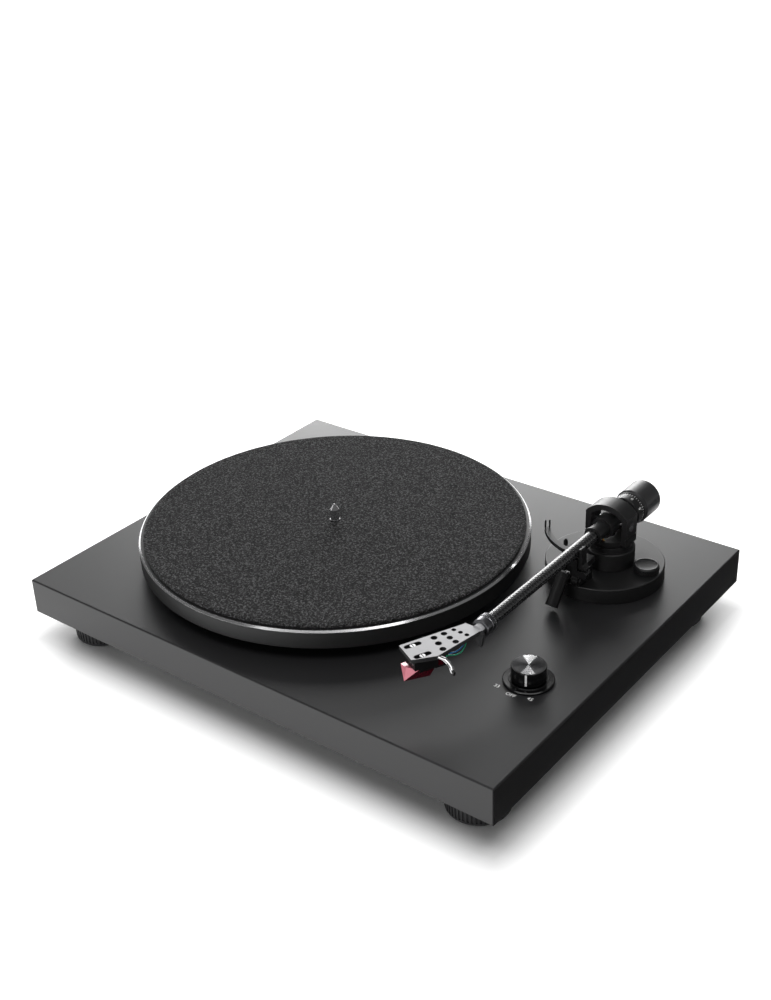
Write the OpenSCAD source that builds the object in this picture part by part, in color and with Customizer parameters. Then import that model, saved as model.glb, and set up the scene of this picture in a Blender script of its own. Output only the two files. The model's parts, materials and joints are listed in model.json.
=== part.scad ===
// Belt-driven record player: a flat plinth on four feet, a felt-topped platter on an inverted
// spindle bearing, a straight arm on a two-axis pivot, and a rotary speed switch.
// Origin: centre of the plinth at the surface it stands on. +X right, +Y back, +Z up. Millimetres.

/* [Plinth] */
// Width, left to right
plinth_w = 420; // [405:1:450]
// Depth, front to back
plinth_d = 338; // [325:1:360]
// Thickness of the board
plinth_h = 29; // [28:0.5:34]
// Height of the feet under the board
foot_h = 25; // [15:0.5:30]
// Radius of a foot at its top
foot_r = 23; // [18:0.5:25]
// Distance of a foot's axis from the two nearest edges
foot_inset = 35; // [30:0.5:45]

/* [Platter] */
// Spindle, measured from the centre of the plinth, left to right
spindle_x = -47; // [-55:0.5:-40]
// Spindle, measured from the centre of the plinth, front to back
spindle_y = -1.5; // [-5:0.5:5]
// Outer radius of the platter
platter_r = 150; // [148:0.5:151]
// Height of the platter's rim
rim_h = 14.5; // [13:0.5:16]
// Height of the platter's top over the plinth
platter_top = 23; // [22:0.5:25]
// Radius of the felt mat
mat_r = 146.5; // [140:0.5:147]
// Thickness of the felt mat
mat_t = 2.5; // [1.5:0.1:3]
// Radius of the spindle pin that a record's hole goes over
spindle_r = 3.55; // [3.5:0.01:3.58]
// Height of the spindle pin over the mat
pin_h = 13.5; // [11:0.5:14]

/* [Drive] */
// Radius of the sub-platter's belt rim
sub_r = 60; // [55:1:65]
// Radius of the motor pulley at the belt
pulley_r = 6; // [5:0.5:8]
// Distance from the spindle to the motor shaft
motor_reach = 96; // [92:1:100]
// Direction of the motor from the spindle, anticlockwise from +X
motor_angle = 150; // [140:1:160]
// Radius of the motor can
motor_r = 18; // [16:0.5:20]

/* [Speed switch] */
// Knob axis, left to right
knob_x = 168; // [160:1:175]
// Knob axis, front to back
knob_y = -64; // [-70:1:-60]
// Radius of the knob
knob_r = 12; // [10:0.5:13]
// Radius of the ring under the knob
bezel_r = 17.5; // [15:0.5:19]

/* [Tonearm] */
// Arm pivot, left to right
pivot_x = 145; // [140:1:148]
// Arm pivot, front to back
pivot_y = 83; // [80:1:86]
// Height of the arm's axis over the plinth
arm_h = 45; // [44:0.5:48]
// Radius of the arm tube
tube_r = 4.5; // [4:0.1:4.6]
// Distance from the pivot to the front end of the tube
tube_reach = 160; // [158:1:164]
// Angle of the headshell to the tube
offset_angle = 24.4; // [20:0.1:26]
// Radius of the round base
base_r = 44; // [42:0.5:46]
// Thickness of the round base
base_h = 12; // [10:0.5:13]
// Radius of the counterweight
weight_r = 13.4; // [12:0.1:13.6]
// How far the counterweight's axis hangs below the tube's
weight_drop = 2.5; // [2:0.1:2.6]

/* [Hidden] */
$fn = 96;

deck_z = foot_h + plinth_h;          // top of the plinth
fit = 0.05;                          // radial clearance of a running fit
seat = 0.02;                         // gap between two pieces that are fixed together
edge = 0.8;                          // chamfer along the plinth's edges
eps = 0.01;                          // overshoot of a cutter

cover_t = 3;                         // bottom cover sheet
wall = 20;                           // plinth wall round the cavity
ceiling_z = deck_z - 13;             // ceiling of the cavity
pocket_z = deck_z - 5;               // ceiling of the motor pocket
pocket_r = 28;
cover_gap = 0.4;                     // between the cover and its recess
cover_lip = 6;                       // width of the ledge that the cover is screwed to
screw_r = 1.5;
screw_head_r = 2.9;
hide = 1.2;                          // depth of a counterbored screw head

platter_z = deck_z + platter_top;    // top face of the platter
mat_z = platter_z + mat_t;
web_z = platter_z - 7.5;             // underside of the platter's plate
rim_z = platter_z - rim_h;           // bottom of the platter's rim
pin_z = mat_z + pin_h;
shaft_r = spindle_r + 0.4;            // spindle below its shoulder, which stands just over the mat
shoulder_z = mat_z + 0.5;
housing_r = 11;
bush_r = 6.5;
ball_r = 2.5;
bearing_floor = foot_h + 9;          // top of the housing's closed end
spindle_foot = bearing_floor + 2 * ball_r + 2 * seat;
flange_r = 22;
flange_t = 2.5;

belt_w = 4;
belt_t = 0.9;
belt_gap = 0.3;                      // the belt stands this far off both wheels
belt_z = deck_z + 5;
motor_x = spindle_x + motor_reach * cos(motor_angle);
motor_y = spindle_y + motor_reach * sin(motor_angle);
motor_shaft_r = 1.5;
plate_t = 2;
plate_z = pocket_z - 3.5;            // underside of the motor plate
motor_h = 16;

stem_r = 3;
knob_gap = 0.4;
bezel_h = 2;
knob_h = 10.3;
cap_t = 1;
switch_bush_r = 4.6;

panel = [110, 2, 18];                // rear panel sheet
panel_x = -115;
panel_y = plinth_d / 2 - 13;
panel_z = foot_h + 5;
jack_z = panel_z + panel[2] / 2;
jack_l = 10;

base_x = pivot_x - 3.4;
base_y = pivot_y - 0.7;
stem_hole_r = 10;
pedestal_r = 18.4;
bearing_bore_r = 8;
yaw_r = 4;
arm_z = deck_z + arm_h;
weight_z = arm_z - weight_drop;
rest_reach = 52;                     // pivot to the middle of the arm rest
rest_w = 6.6;                        // width of the arm rest along the tube
lift_reach = 46;                     // pivot to the middle of the lift's rail
rail_w = 4.2;
rail_span = 58;                      // the rail's arc
lift_gap = 0.4;                      // between the rail and the tube
rail_top = arm_h - tube_r - lift_gap;
lift_at = [-7.5, -32.5];             // lift housing, from the pivot
housing_post_r = 6;
hub_at = [-8.2, -46.2, 18];          // middle of the cue lever's hub, from the pivot on the deck
lever_tilt = 50;                     // the handle slopes down this far
screw_tip = 6.6;                     // the pivot screws' tips, from the pivot
barrel_r = 8.3;
sleeve_r = 6;
stub_r = 5;
shell_t = 3;                         // thickness of the headshell plate
stylus_seat_y = -43.4;               // back and top of the notch that the stylus plugs into
stylus_seat_z = -9;
shell_top = 1.5;                     // its top, over the tube's axis
shell_back = [-10.7, -172.9];        // its rear left corner, from the pivot
slot_spacing = 12.7;                 // between the cartridge's two screws
slot_row = 40.3;                     // from the shell's rear left corner to the screws
skate_at = [29.5, 1.5];              // anti-skate knob, from the pivot
skate_r = 9.6;

// ---- places ----

module at_spindle(z = 0) { translate([spindle_x, spindle_y, z]) children(); }
module at_motor(z = 0) { translate([motor_x, motor_y, z]) children(); }
module at_knob(z = 0) { translate([knob_x, knob_y, z]) children(); }
module at_pivot(z = 0) { translate([pivot_x, pivot_y, z]) children(); }
// The arm's own frame: the tube runs along -Y through the origin
module in_arm() { at_pivot(arm_z) children(); }
// The counterweight's frame: +Z runs back along its axis
module in_weight() { at_pivot(weight_z) rotate([-90, 0, 0]) children(); }
// The headshell's frame: origin at its rear left corner, top face at z = 0, forward along -Y
module in_shell() {
    in_arm() translate([shell_back[0], shell_back[1], shell_top])
        rotate([0, 0, -offset_angle]) children();
}
module at_corners(inset_x, inset_y) {
    for (x = [-1, 1], y = [-1, 1])
        translate([x * (plinth_w / 2 - inset_x), y * (plinth_d / 2 - inset_y), 0]) children();
}
module ring_of(count, r, start = 0) {
    for (k = [0 : count - 1]) rotate([0, 0, start + k * 360 / count]) translate([r, 0, 0]) children();
}

// ---- shapes ----

module tube(r_out, r_in, h) {
    difference() {
        cylinder(r = r_out, h = h);
        translate([0, 0, -eps]) cylinder(r = r_in, h = h + 2 * eps);
    }
}
// A turned piece from its half section, as [radius, height] points
module turned(section) { rotate_extrude() polygon(section); }
// A rod along Y, from y0 to y1
module rod_y(r, y0, y1) { translate([0, y1, 0]) rotate([90, 0, 0]) cylinder(r = r, h = y1 - y0); }
// A rod along X, from x0 to x1
module rod_x(r, x0, x1) { translate([x0, 0, 0]) rotate([0, 90, 0]) cylinder(r = r, h = x1 - x0); }
module box(low, high) { translate(low) cube(high - low); }
// A screw standing with its head down at z = 0 and its tip up
module screw_up(length) {
    cylinder(r = screw_head_r, h = hide);
    cylinder(r = screw_r, h = length);
}

// ---- plinth and feet ----

// 45 degree cutters along the four edges of a horizontal face
module edge_cutters() {
    side = edge * sqrt(2);
    for (y = [-1, 1]) translate([0, y * plinth_d / 2, 0]) rotate([45, 0, 0])
        cube([plinth_w + 2, side, side], center = true);
    for (x = [-1, 1]) translate([x * plinth_w / 2, 0, 0]) rotate([0, 45, 0])
        cube([side, plinth_d + 2, side], center = true);
}
module upright_cutters() {
    side = edge * sqrt(2);
    at_corners(0, 0) translate([0, 0, foot_h + plinth_h / 2]) rotate([0, 0, 45])
        cube([side, side, plinth_h + 2], center = true);
}
module plinth() {
    half = [plinth_w / 2, plinth_d / 2];
    color("#2a2a2c") difference() {
        box([-half[0], -half[1], foot_h], [half[0], half[1], deck_z]);
        for (z = [foot_h, deck_z]) translate([0, 0, z]) edge_cutters();
        upright_cutters();
        // recess for the cover, then the cavity above it
        box([wall - half[0], wall - half[1], foot_h - 1],
            [half[0] - wall, half[1] - wall, foot_h + cover_t + cover_gap]);
        difference() {
            box([wall + cover_lip - half[0], wall + cover_lip - half[1], foot_h],
                [half[0] - wall - cover_lip, half[1] - wall - cover_lip, ceiling_z]);
            // corner blocks that the feet are fixed to
            at_corners(foot_inset, foot_inset) cylinder(r = foot_r + 6, h = deck_z);
        }
        at_motor() cylinder(r = pocket_r, h = pocket_z);
        at_motor() cylinder(r = pulley_r + 3, h = deck_z + 1);
        at_spindle() cylinder(r = housing_r + 2 * fit, h = deck_z + 1);
        at_knob() cylinder(r = switch_bush_r + 2 * fit, h = deck_z + 1);
        at_pivot() cylinder(r = stem_hole_r + 2 * fit, h = deck_z + 1);
        // window in the rear wall for the connector panel
        box([panel_x - panel[0] / 2, half[1] - wall - cover_lip - 1, panel_z],
            [panel_x + panel[0] / 2, half[1] + 1, panel_z + panel[2]]);
    }
}
module bottom_cover() {
    size = [plinth_w - 2 * wall - 2 * cover_gap, plinth_d - 2 * wall - 2 * cover_gap];
    color("#1c1c1e") difference() {
        translate([0, 0, foot_h + cover_t / 2]) cube([size[0], size[1], cover_t], center = true);
        at_corners(foot_inset, foot_inset) translate([0, 0, foot_h - 1])
            cylinder(r = foot_r + 1, h = cover_t + 2);
        cover_screw_places() translate([0, 0, -1]) cylinder(r = screw_r + 0.3, h = 10);
        cover_screw_places() translate([0, 0, -1]) cylinder(r = screw_head_r + 0.3, h = 1 + hide + 0.1);
    }
}
module cover_screw_places() {
    row = plinth_d / 2 - wall - cover_lip / 2;
    column = plinth_w / 2 - wall - cover_lip / 2;
    for (y = [-row, row], x = [-70, 0, 70]) translate([x, y, foot_h]) children();
    for (x = [-column, column]) translate([x, 0, foot_h]) children();
}
module cover_screws() {
    color("#b8b8ba") cover_screw_places() translate([0, 0, 0.1]) screw_up(cover_t - 0.15);
}
module foot(x, y) {
    color("#161617") translate([x * (plinth_w / 2 - foot_inset), y * (plinth_d / 2 - foot_inset), 0])
        turned([[0, 1.5], [foot_r - 1.6, 1.5], [foot_r - 1, 2.5], [foot_r, foot_h - 3],
                [foot_r, foot_h - seat], [0, foot_h - seat]]);
}
module foot_front_left() { foot(-1, -1); }
module foot_front_right() { foot(1, -1); }
module foot_rear_left() { foot(-1, 1); }
module foot_rear_right() { foot(1, 1); }
module foot_pads() {
    color("#303030") at_corners(foot_inset, foot_inset) cylinder(r = foot_r - 4, h = 1.5 - seat);
}

// ---- spindle bearing, platter and drive ----

module bearing_screw_places() { at_spindle() ring_of(3, flange_r - 5, 30) children(); }
module bearing_housing() {
    top = deck_z + flange_t;
    color("#9a9a9c") difference() {
        at_spindle() union() {
            translate([0, 0, deck_z + seat]) cylinder(r = flange_r, h = flange_t - seat);
            translate([0, 0, bearing_floor - 4]) cylinder(r = housing_r, h = top - bearing_floor + 4);
        }
        at_spindle(bearing_floor) cylinder(r = bush_r + seat, h = deck_z);
        bearing_screw_places() translate([0, 0, deck_z - 1]) cylinder(r = screw_r + 0.2, h = 5);
        bearing_screw_places() translate([0, 0, top - hide - 0.1]) cylinder(r = screw_head_r + 0.3, h = 5);
    }
}
module bearing_bush() {
    color("#c09a4a") at_spindle(spindle_foot + 0.5)
        tube(bush_r, shaft_r + fit, deck_z + flange_t - spindle_foot - 0.5);
}
module thrust_ball() { color("#d8d8dc") at_spindle(bearing_floor + ball_r + seat) sphere(r = ball_r); }
module bearing_screws() {
    color("#b8b8ba") bearing_screw_places() translate([0, 0, deck_z + flange_t]) mirror([0, 0, 1])
        screw_up(flange_t - 2 * seat);
}
module platter() {
    color("#1d1d1f") at_spindle() turned([
        [shaft_r + seat, web_z], [flange_r, web_z], [platter_r - 12, web_z], [platter_r - 12, rim_z],
        [platter_r - 0.8, rim_z], [platter_r, rim_z + 0.8], [platter_r, platter_z - 1.3],
        [platter_r - 1.3, platter_z], [shaft_r + seat, platter_z]]);
}
module platter_mat() {
    color("#3a3a3b") at_spindle(platter_z + seat) tube(mat_r, shaft_r + 0.2, mat_t - seat);
}
module sub_platter() {
    low = deck_z + flange_t + 1;
    rim_low = belt_z - 1.5;
    rim_top = belt_z + belt_w + 2;
    floor_z = low + 3.5;
    color("#2c2c30") at_spindle() turned([
        [shaft_r + seat, low], [14, low], [14, floor_z - 1.5], [sub_r - 3, floor_z - 1.5],
        [sub_r - 3, rim_low], [sub_r, rim_low], [sub_r, rim_top], [sub_r - 3, rim_top],
        [sub_r - 3, floor_z + 1], [flange_r, floor_z + 1], [flange_r, web_z - seat],
        [shaft_r + seat, web_z - seat]]);
}
module spindle() {
    tip = 4.5;
    color("#d4d4d8") at_spindle() turned([
        [0, spindle_foot], [shaft_r - 0.5, spindle_foot], [shaft_r, spindle_foot + 0.5],
        [shaft_r, shoulder_z], [spindle_r, shoulder_z],
        [spindle_r, pin_z - tip], [1, pin_z - 0.6], [0.5, pin_z], [0, pin_z]]);
}
module motor_pulley() {
    low = deck_z + 2;
    flange = pulley_r + 1.2;
    bottom = belt_z - 1;
    top = belt_z + belt_w + 1;
    color("#c8a860") at_motor() turned([
        [motor_shaft_r + fit, low], [flange, low], [flange, bottom - 0.8], [pulley_r, bottom],
        [pulley_r, top], [flange, top + 0.8], [flange, top + 1.5], [motor_shaft_r + fit, top + 1.5]]);
}
// Outline of a loop drawn tight round the rim and the pulley, a given distance off both
module belt_outline(off) {
    hull() {
        circle(r = sub_r + off);
        translate([motor_reach, 0]) circle(r = pulley_r + off);
    }
}
module drive_belt() {
    color("#0e0e0e") at_spindle(belt_z) rotate([0, 0, motor_angle]) linear_extrude(belt_w) difference() {
        belt_outline(belt_gap + belt_t);
        belt_outline(belt_gap);
    }
}
module motor() {
    low = plate_z - motor_h;
    color("#8c8c90") at_motor() union() {
        translate([0, 0, low]) turned([[0, 0], [motor_r - 1, 0], [motor_r, 1],
            [motor_r, motor_h - seat], [0, motor_h - seat]]);
        translate([0, 0, low]) cylinder(r = motor_shaft_r, h = belt_z + belt_w + 2 - low);
        translate([0, 0, low]) cylinder(r = 4, h = motor_h + plate_t);
    }
}
module motor_post_places() { at_motor() ring_of(3, pocket_r - 5, 90) children(); }
module motor_plate() {
    color("#77777a") difference() {
        at_motor(plate_z) cylinder(r = pocket_r - 1, h = plate_t);
        at_motor(plate_z - 1) cylinder(r = 4 + fit, h = plate_t + 2);
        motor_post_places() translate([0, 0, plate_z - 1]) cylinder(r = screw_r + 0.3, h = plate_t + 2);
    }
}
module motor_grommets() {
    gap = pocket_z - plate_z - plate_t;
    color("#222222") motor_post_places() translate([0, 0, plate_z + plate_t + seat])
        tube(3.5, screw_r + 0.2, gap - 2 * seat);
}
module motor_screws() {
    color("#b8b8ba") motor_post_places() translate([0, 0, plate_z - hide - seat])
        screw_up(pocket_z - plate_z + hide - seat);
}

// ---- electrics ----

module control_board() {
    size = [76, 52, 1.6];
    color("#1f5a36") translate([knob_x - 106, knob_y - 30, ceiling_z - 9]) {
        cube(size);
        for (x = [6, 64]) translate([x, 14, size[2]]) cube([7, 24, 3]);
        translate([22, 14, size[2]]) cube([24, 18, 5]);
        for (x = [28, 42]) translate([x, 42, size[2]]) cylinder(r = 4, h = 6);
    }
}
module speed_switch() {
    body_h = 9;
    color("#4a4a4e") difference() {
        at_knob(ceiling_z - body_h) union() {
            translate([-11, -11, 0]) cube([22, 22, body_h - seat]);
            cylinder(r = switch_bush_r, h = deck_z - ceiling_z + body_h);
        }
        at_knob(ceiling_z - body_h + 3) cylinder(r = stem_r + fit, h = deck_z);
    }
}
module knob_bezel() {
    color("#131314") at_knob() turned([
        [stem_r + 1.5, deck_z + seat], [bezel_r, deck_z + seat], [bezel_r, deck_z + bezel_h - 0.4],
        [bezel_r - 0.4, deck_z + bezel_h], [stem_r + 1.5, deck_z + bezel_h]]);
}
module speed_knob() {
    low = deck_z + bezel_h + knob_gap;
    top = low + knob_h;
    color("#0c0c0d") at_knob() turned([
        [0, ceiling_z - 5], [stem_r, ceiling_z - 5], [stem_r, low], [knob_r - 0.3, low],
        [knob_r, low + 0.3], [knob_r, top - 0.5], [knob_r - 0.5, top], [knob_r - 1, top],
        [knob_r - 1, top - cap_t], [0, top - cap_t]]);
}
module knob_cap() {
    top = deck_z + bezel_h + knob_gap + knob_h;
    color("#c9c9cc") at_knob() turned([
        [0, top - cap_t + seat], [knob_r - 1 - seat, top - cap_t + seat], [knob_r - 1 - seat, top],
        [knob_r - 2, top - 0.15], [0, top - 0.15]]);
}
module rear_panel() {
    color("#202022") difference() {
        box([panel_x - panel[0] / 2 + seat, panel_y, panel_z + seat],
            [panel_x + panel[0] / 2 - seat, panel_y + panel[1], panel_z + panel[2] - seat]);
        for (x = [-40, -22, 2, 40]) panel_hole(x, 3.6);
    }
}
// Turns children to stand out of the panel's back at x from its middle
module on_panel(x) {
    translate([panel_x + x, panel_y + panel[1], jack_z]) rotate([-90, 0, 0]) children();
}
module panel_hole(x, r) { on_panel(x) translate([0, 0, -panel[1] - 1]) cylinder(r = r, h = panel[1] + 2); }
module rca_jacks() {
    color("#d9b45a") for (x = [-40, -22]) on_panel(x) difference() {
        union() {
            translate([0, 0, seat]) cylinder(r = 6, h = 1.5);
            cylinder(r = 4.15, h = jack_l);
            translate([0, 0, -8]) cylinder(r = 3.5, h = 9);
        }
        translate([0, 0, 1]) cylinder(r = 1.6, h = jack_l);
    }
}
module dc_inlet() {
    color("#1a1a1a") on_panel(40) difference() {
        union() {
            translate([0, 0, seat]) cylinder(r = 5.5, h = 1.5);
            translate([0, 0, -10]) cylinder(r = 3.5, h = 11);
        }
        translate([0, 0, -8]) cylinder(r = 2.75, h = 12);
    }
}
module ground_post() {
    color("#d9b45a") on_panel(2) {
        translate([0, 0, seat]) cylinder(r = 5, h = 1.2);
        translate([0, 0, -6]) cylinder(r = 2, h = 6 + jack_l);
        translate([0, 0, 3]) cylinder(r = 4, h = 5);
    }
}

// ---- tonearm base, pedestal and rest ----

module tonearm_base() {
    color("#202022") difference() {
        translate([base_x, base_y, 0]) turned([
            [0, deck_z + seat], [base_r, deck_z + seat], [base_r, deck_z + base_h - 0.5],
            [base_r - 0.5, deck_z + base_h], [0, deck_z + base_h]]);
        at_pivot() cylinder(r = stem_hole_r + seat, h = deck_z + base_h + 1);
        at_pivot() translate([skate_at[0], skate_at[1], deck_z + 4]) cylinder(r = 2 + fit, h = base_h);
        at_pivot() translate([lift_at[0], lift_at[1], deck_z + 6]) cylinder(r = 3 + seat, h = base_h);
    }
}
module base_nut() {
    color("#a8a8ac") at_pivot(ceiling_z - 4) tube(stem_hole_r + 6, stem_hole_r + seat, 4 - seat);
}
module pedestal() {
    top = deck_z + base_h + 14;
    step_r = pedestal_r - 2.9;
    color("#242426") difference() {
        at_pivot() turned([
            [0, ceiling_z - 6], [stem_hole_r, ceiling_z - 6], [stem_hole_r, deck_z + base_h + seat],
            [pedestal_r, deck_z + base_h + seat], [pedestal_r, top - 0.6], [pedestal_r - 0.6, top],
            [step_r, top], [step_r, top + 4], [0, top + 4]]);
        at_pivot() cylinder(r = bearing_bore_r, h = deck_z + arm_h);
    }
}
module yaw_bearings() {
    color("#c4c4c8") for (z = [ceiling_z - 4, deck_z + base_h + 11])
        at_pivot(z) tube(bearing_bore_r - seat, yaw_r + fit, 5);
}
// Rest: an arm reaches forward from the lift housing to a low seat under the tube
module arm_rest() {
    low = 26;
    bar_h = 5;
    seat_top = rail_top - 0.1;
    y_front = -rest_reach - rest_w / 2;
    y_back = -rest_reach + rest_w / 2;
    pin = [9.2, 29.5];
    ear = 1.5;
    color("#1e1e20") at_pivot(deck_z) {
        difference() {
            union() {
                translate([0, 0, low]) linear_extrude(bar_h) polygon([
                    [lift_at[0] + 4, lift_at[1] + 3.5], [4.2, lift_at[1] + 3.5],
                    [4.2, y_front], [-0.8, y_front], [-0.8, lift_at[1] - 3.5],
                    [lift_at[0] + 4, lift_at[1] - 3.5]]);
                box([-0.8, y_front, low], [4.2, y_back, seat_top]);
                translate([0, y_back, 0]) rotate([90, 0, 0]) linear_extrude(rest_w) polygon([
                    [-9, seat_top], [-8.2, seat_top], [-6, seat_top - 2.4], [0, seat_top - 2.4],
                    [0, seat_top - 6], [-5, seat_top - 6], [-8, seat_top - 3.4]]);
                for (y = [y_front, y_back - ear]) box([4, y, pin[1] - 2.8], [pin[0], y + ear, pin[1] + 2.2]);
                for (y = [y_front, y_back - ear]) translate([pin[0], y, pin[1]])
                    rod_y(2.8, 0, ear);
            }
            // the tube's seat, and the hollow end that fits round the lift housing
            translate([0, 0, arm_h]) rod_y(tube_r + 0.4, y_front - 1, y_back + 1);
            translate([lift_at[0], lift_at[1], low - 1]) cylinder(r = housing_post_r + seat, h = bar_h + 2);
        }
        translate([pin[0], 0, pin[1]]) rod_y(1.3, y_front, y_back);
    }
}
module rest_latch() {
    y_front = -rest_reach - rest_w / 2;
    y_back = -rest_reach + rest_w / 2;
    pin = [9.2, 29.5];
    ear = 1.8;
    color("#3a3a3d") difference() {
        at_pivot(deck_z) union() {
            translate([pin[0], 0, pin[1]]) rod_y(2.8, y_front + ear, y_back - ear);
            box([6.4, y_front + ear, pin[1]], [11, y_back - ear, pin[1] + 5]);
            translate([0, y_back, 0]) rotate([90, 0, 0]) linear_extrude(rest_w) polygon([
                [5.4, 33.5], [11, 33.5], [8.4, 37], [8, 46.5], [7, 49.5], [5.4, 49.5]]);
        }
        at_pivot(deck_z) translate([pin[0], 0, pin[1]]) rod_y(1.3 + fit, y_front, y_back);
    }
}

// ---- cue lift ----

// Housing of the lift's piston, with the boss that the lever's shaft turns in and a guide pin
// that keeps the rail from turning on the piston
module lift_housing() {
    boss_y = hub_at[1];
    color("#19191b") at_pivot(deck_z) difference() {
        union() {
            translate([lift_at[0], lift_at[1], base_h + seat]) cylinder(r = housing_post_r, h = 19);
            translate([lift_at[0], lift_at[1], 7]) cylinder(r = 3, h = base_h);
            box([-3.2, boss_y, hub_at[2] - 4.4], [2, lift_at[1] + 2, hub_at[2] + 4.4]);
            translate([0, boss_y, hub_at[2]]) rod_x(4.4, -3.2, 2);
            box([lift_at[0], lift_at[1] - 4, base_h + seat], [2, lift_at[1] + 4, hub_at[2] + 4.4]);
            box([-18.4, -33.4, base_h + seat], [lift_at[0], -31, base_h + 8]);
            translate([-18.4, -32.7, base_h + seat]) cylinder(r = 2.4, h = 16);
            translate([-18.4, -32.7, base_h + 16]) cylinder(r = 1.6, h = rail_top - base_h - 18.2);
            translate([-18.4, -32.7, rail_top - 2.2]) cylinder(r1 = 1.6, r2 = 0.5, h = 2.2);
        }
        translate([lift_at[0], lift_at[1], base_h + 2]) cylinder(r = 2.5 + fit, h = 30);
        translate([0, boss_y, hub_at[2]]) rod_x(1.5 + fit, -10, 10);
    }
}
// Rail under the tube, an arc round the pivot with a turned-up end, on a lug over the piston
module lift_platform() {
    thick = 3;
    start = 271.5 - rail_span;
    color("#262628") at_pivot(deck_z) {
        translate([0, 0, rail_top - thick]) rotate([0, 0, start])
            rotate_extrude(angle = rail_span) translate([lift_reach - rail_w / 2, 0])
                square([rail_w, thick]);
        for (r = [lift_reach - rail_w / 2, lift_reach + rail_w / 2 - 1.2])
            translate([0, 0, rail_top - thick]) rotate([0, 0, start])
                rotate_extrude(angle = 1.8) translate([r, 0]) square([1.2, thick + 6]);
        difference() {
            translate([0, 0, rail_top - thick]) linear_extrude(thick - 0.5) polygon([
                [lift_at[0] - 3.5, lift_at[1] + 3], [lift_at[0] + 3.5, lift_at[1] + 3],
                [lift_at[0] + 4.5, -lift_reach + 1.5], [lift_at[0] - 5.5, -lift_reach + 3]]);
            translate([lift_at[0], lift_at[1], 0]) cylinder(r = 1.5 + seat, h = rail_top + 1);
        }
    }
}
module lift_piston() {
    color("#c0c0c4") at_pivot(deck_z) translate([lift_at[0], lift_at[1], 0]) {
        translate([0, 0, base_h + 2.5]) cylinder(r = 2.5, h = rail_top - 3.1 - base_h - 2.5);
        translate([0, 0, base_h + 2.5]) cylinder(r = 1.5, h = rail_top - 0.6 - base_h - 2.5);
    }
}
// Moves children to the hub's axis with -Y along the handle
module at_lever() {
    at_pivot(deck_z) translate(hub_at) rotate([lever_tilt, 0, 0]) children();
}
module cue_lever() {
    color("#1b1b1d") difference() {
        at_lever() {
            rod_x(4, -3.2, 3.2);
            box([-2.4, -5.5, 0], [2.4, 1, 8]);
            translate([0, 1.2, 7.8]) rotate([90, 0, 0]) {
                cylinder(r = 4.7, h = 3.5);
                cylinder(r1 = 4.4, r2 = 4.7, h = 25.5);
            }
        }
        at_lever() rod_x(1.5 + seat, -5, 5);
        at_lever() translate([0, 1.3, 7.8]) rotate([90, 0, 0]) cylinder(r = 1.25, h = 3.1);
    }
}
module lever_screw() {
    color("#d0d0d4") at_lever() translate([0, 1.2 + seat, 7.8]) rotate([90, 0, 0]) difference() {
        union() {
            translate([0, 0, -1.2]) cylinder(r = 2.6, h = 1.2);
            cylinder(r = 1.2, h = 3);
        }
        translate([-4, -0.35, -1.3]) cube([8, 0.7, 0.7]);
    }
}
module lift_shaft() {
    color("#c0c0c4") at_pivot(deck_z) translate([0, hub_at[1], hub_at[2]])
        rod_x(1.5, hub_at[0] - 3.2, 1.8);
}

// ---- arm ----

module gimbal_yoke() {
    half = 17;
    arch_r = 21.6;
    arch_z = -5.8;
    cheek = 4.4;
    depth = 15;
    foot_z = -10.4;
    color("#3b3b3e") difference() {
        in_arm() union() {
            translate([0, depth / 2, 0]) rotate([90, 0, 0]) linear_extrude(depth) difference() {
                intersection() {
                    translate([-half, foot_z - 3.4]) square([2 * half, 40]);
                    translate([0, arch_z]) circle(r = arch_r);
                }
                intersection() {
                    translate([cheek - half, foot_z]) square([2 * (half - cheek), 40]);
                    translate([0, arch_z]) circle(r = arch_r - cheek);
                }
            }
            translate([0, 0, foot_z - 4.2]) cylinder(r = 14.2, h = 4.2);
        }
        in_arm() rod_x(2.2 + seat, -half - 1, half + 1);
        in_arm() for (x = [-1, 1]) rod_x(3.4 + seat, x * half - 0.8, x * half + 0.8);
        in_arm() translate([0, 0, foot_z - 5]) cylinder(r = yaw_r + seat, h = 6);
    }
}
module yaw_shaft() {
    color("#c4c4c8") at_pivot(ceiling_z - 5) cylinder(r = yaw_r, h = arm_z - 10.6 - ceiling_z + 5);
}
module pivot_screws() {
    color("#c9c9cc") in_arm() for (side = [0, 1]) mirror([side, 0, 0]) difference() {
        union() {
            rod_x(3.4, 16.2 + seat, 16.9);
            rod_x(2.2, screw_tip + 1.2, 16.8);
            translate([screw_tip, 0, 0]) rotate([0, 90, 0]) cylinder(r1 = 0.4, r2 = 2.2, h = 1.2);
        }
        box([16.5, -4, -0.4], [17.5, 4, 0.4]);
    }
}
module arm_barrel() {
    color("#2c2c2e") difference() {
        in_arm() union() {
            rod_y(barrel_r, -13, 10);
            rod_y(sleeve_r, -27, 5);
            rod_y(sleeve_r + 0.6, -27, -25.4);
        }
        in_arm() rod_y(tube_r + seat, -30, -8);
        in_arm() for (side = [0, 1]) mirror([side, 0, 0]) rod_x(2.2 + fit, screw_tip - 0.2, 12);
    }
}
module arm_tube() { color("#26262a") in_arm() rod_y(tube_r, -tube_reach, -8 - seat); }
module counterweight_stub() {
    color("#6c6c70") in_arm() translate([0, 0, -weight_drop]) union() {
        rod_y(stub_r, 10 + seat, 49);
        rod_y(stub_r + 0.7, 10 + seat, 12);
    }
}
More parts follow.
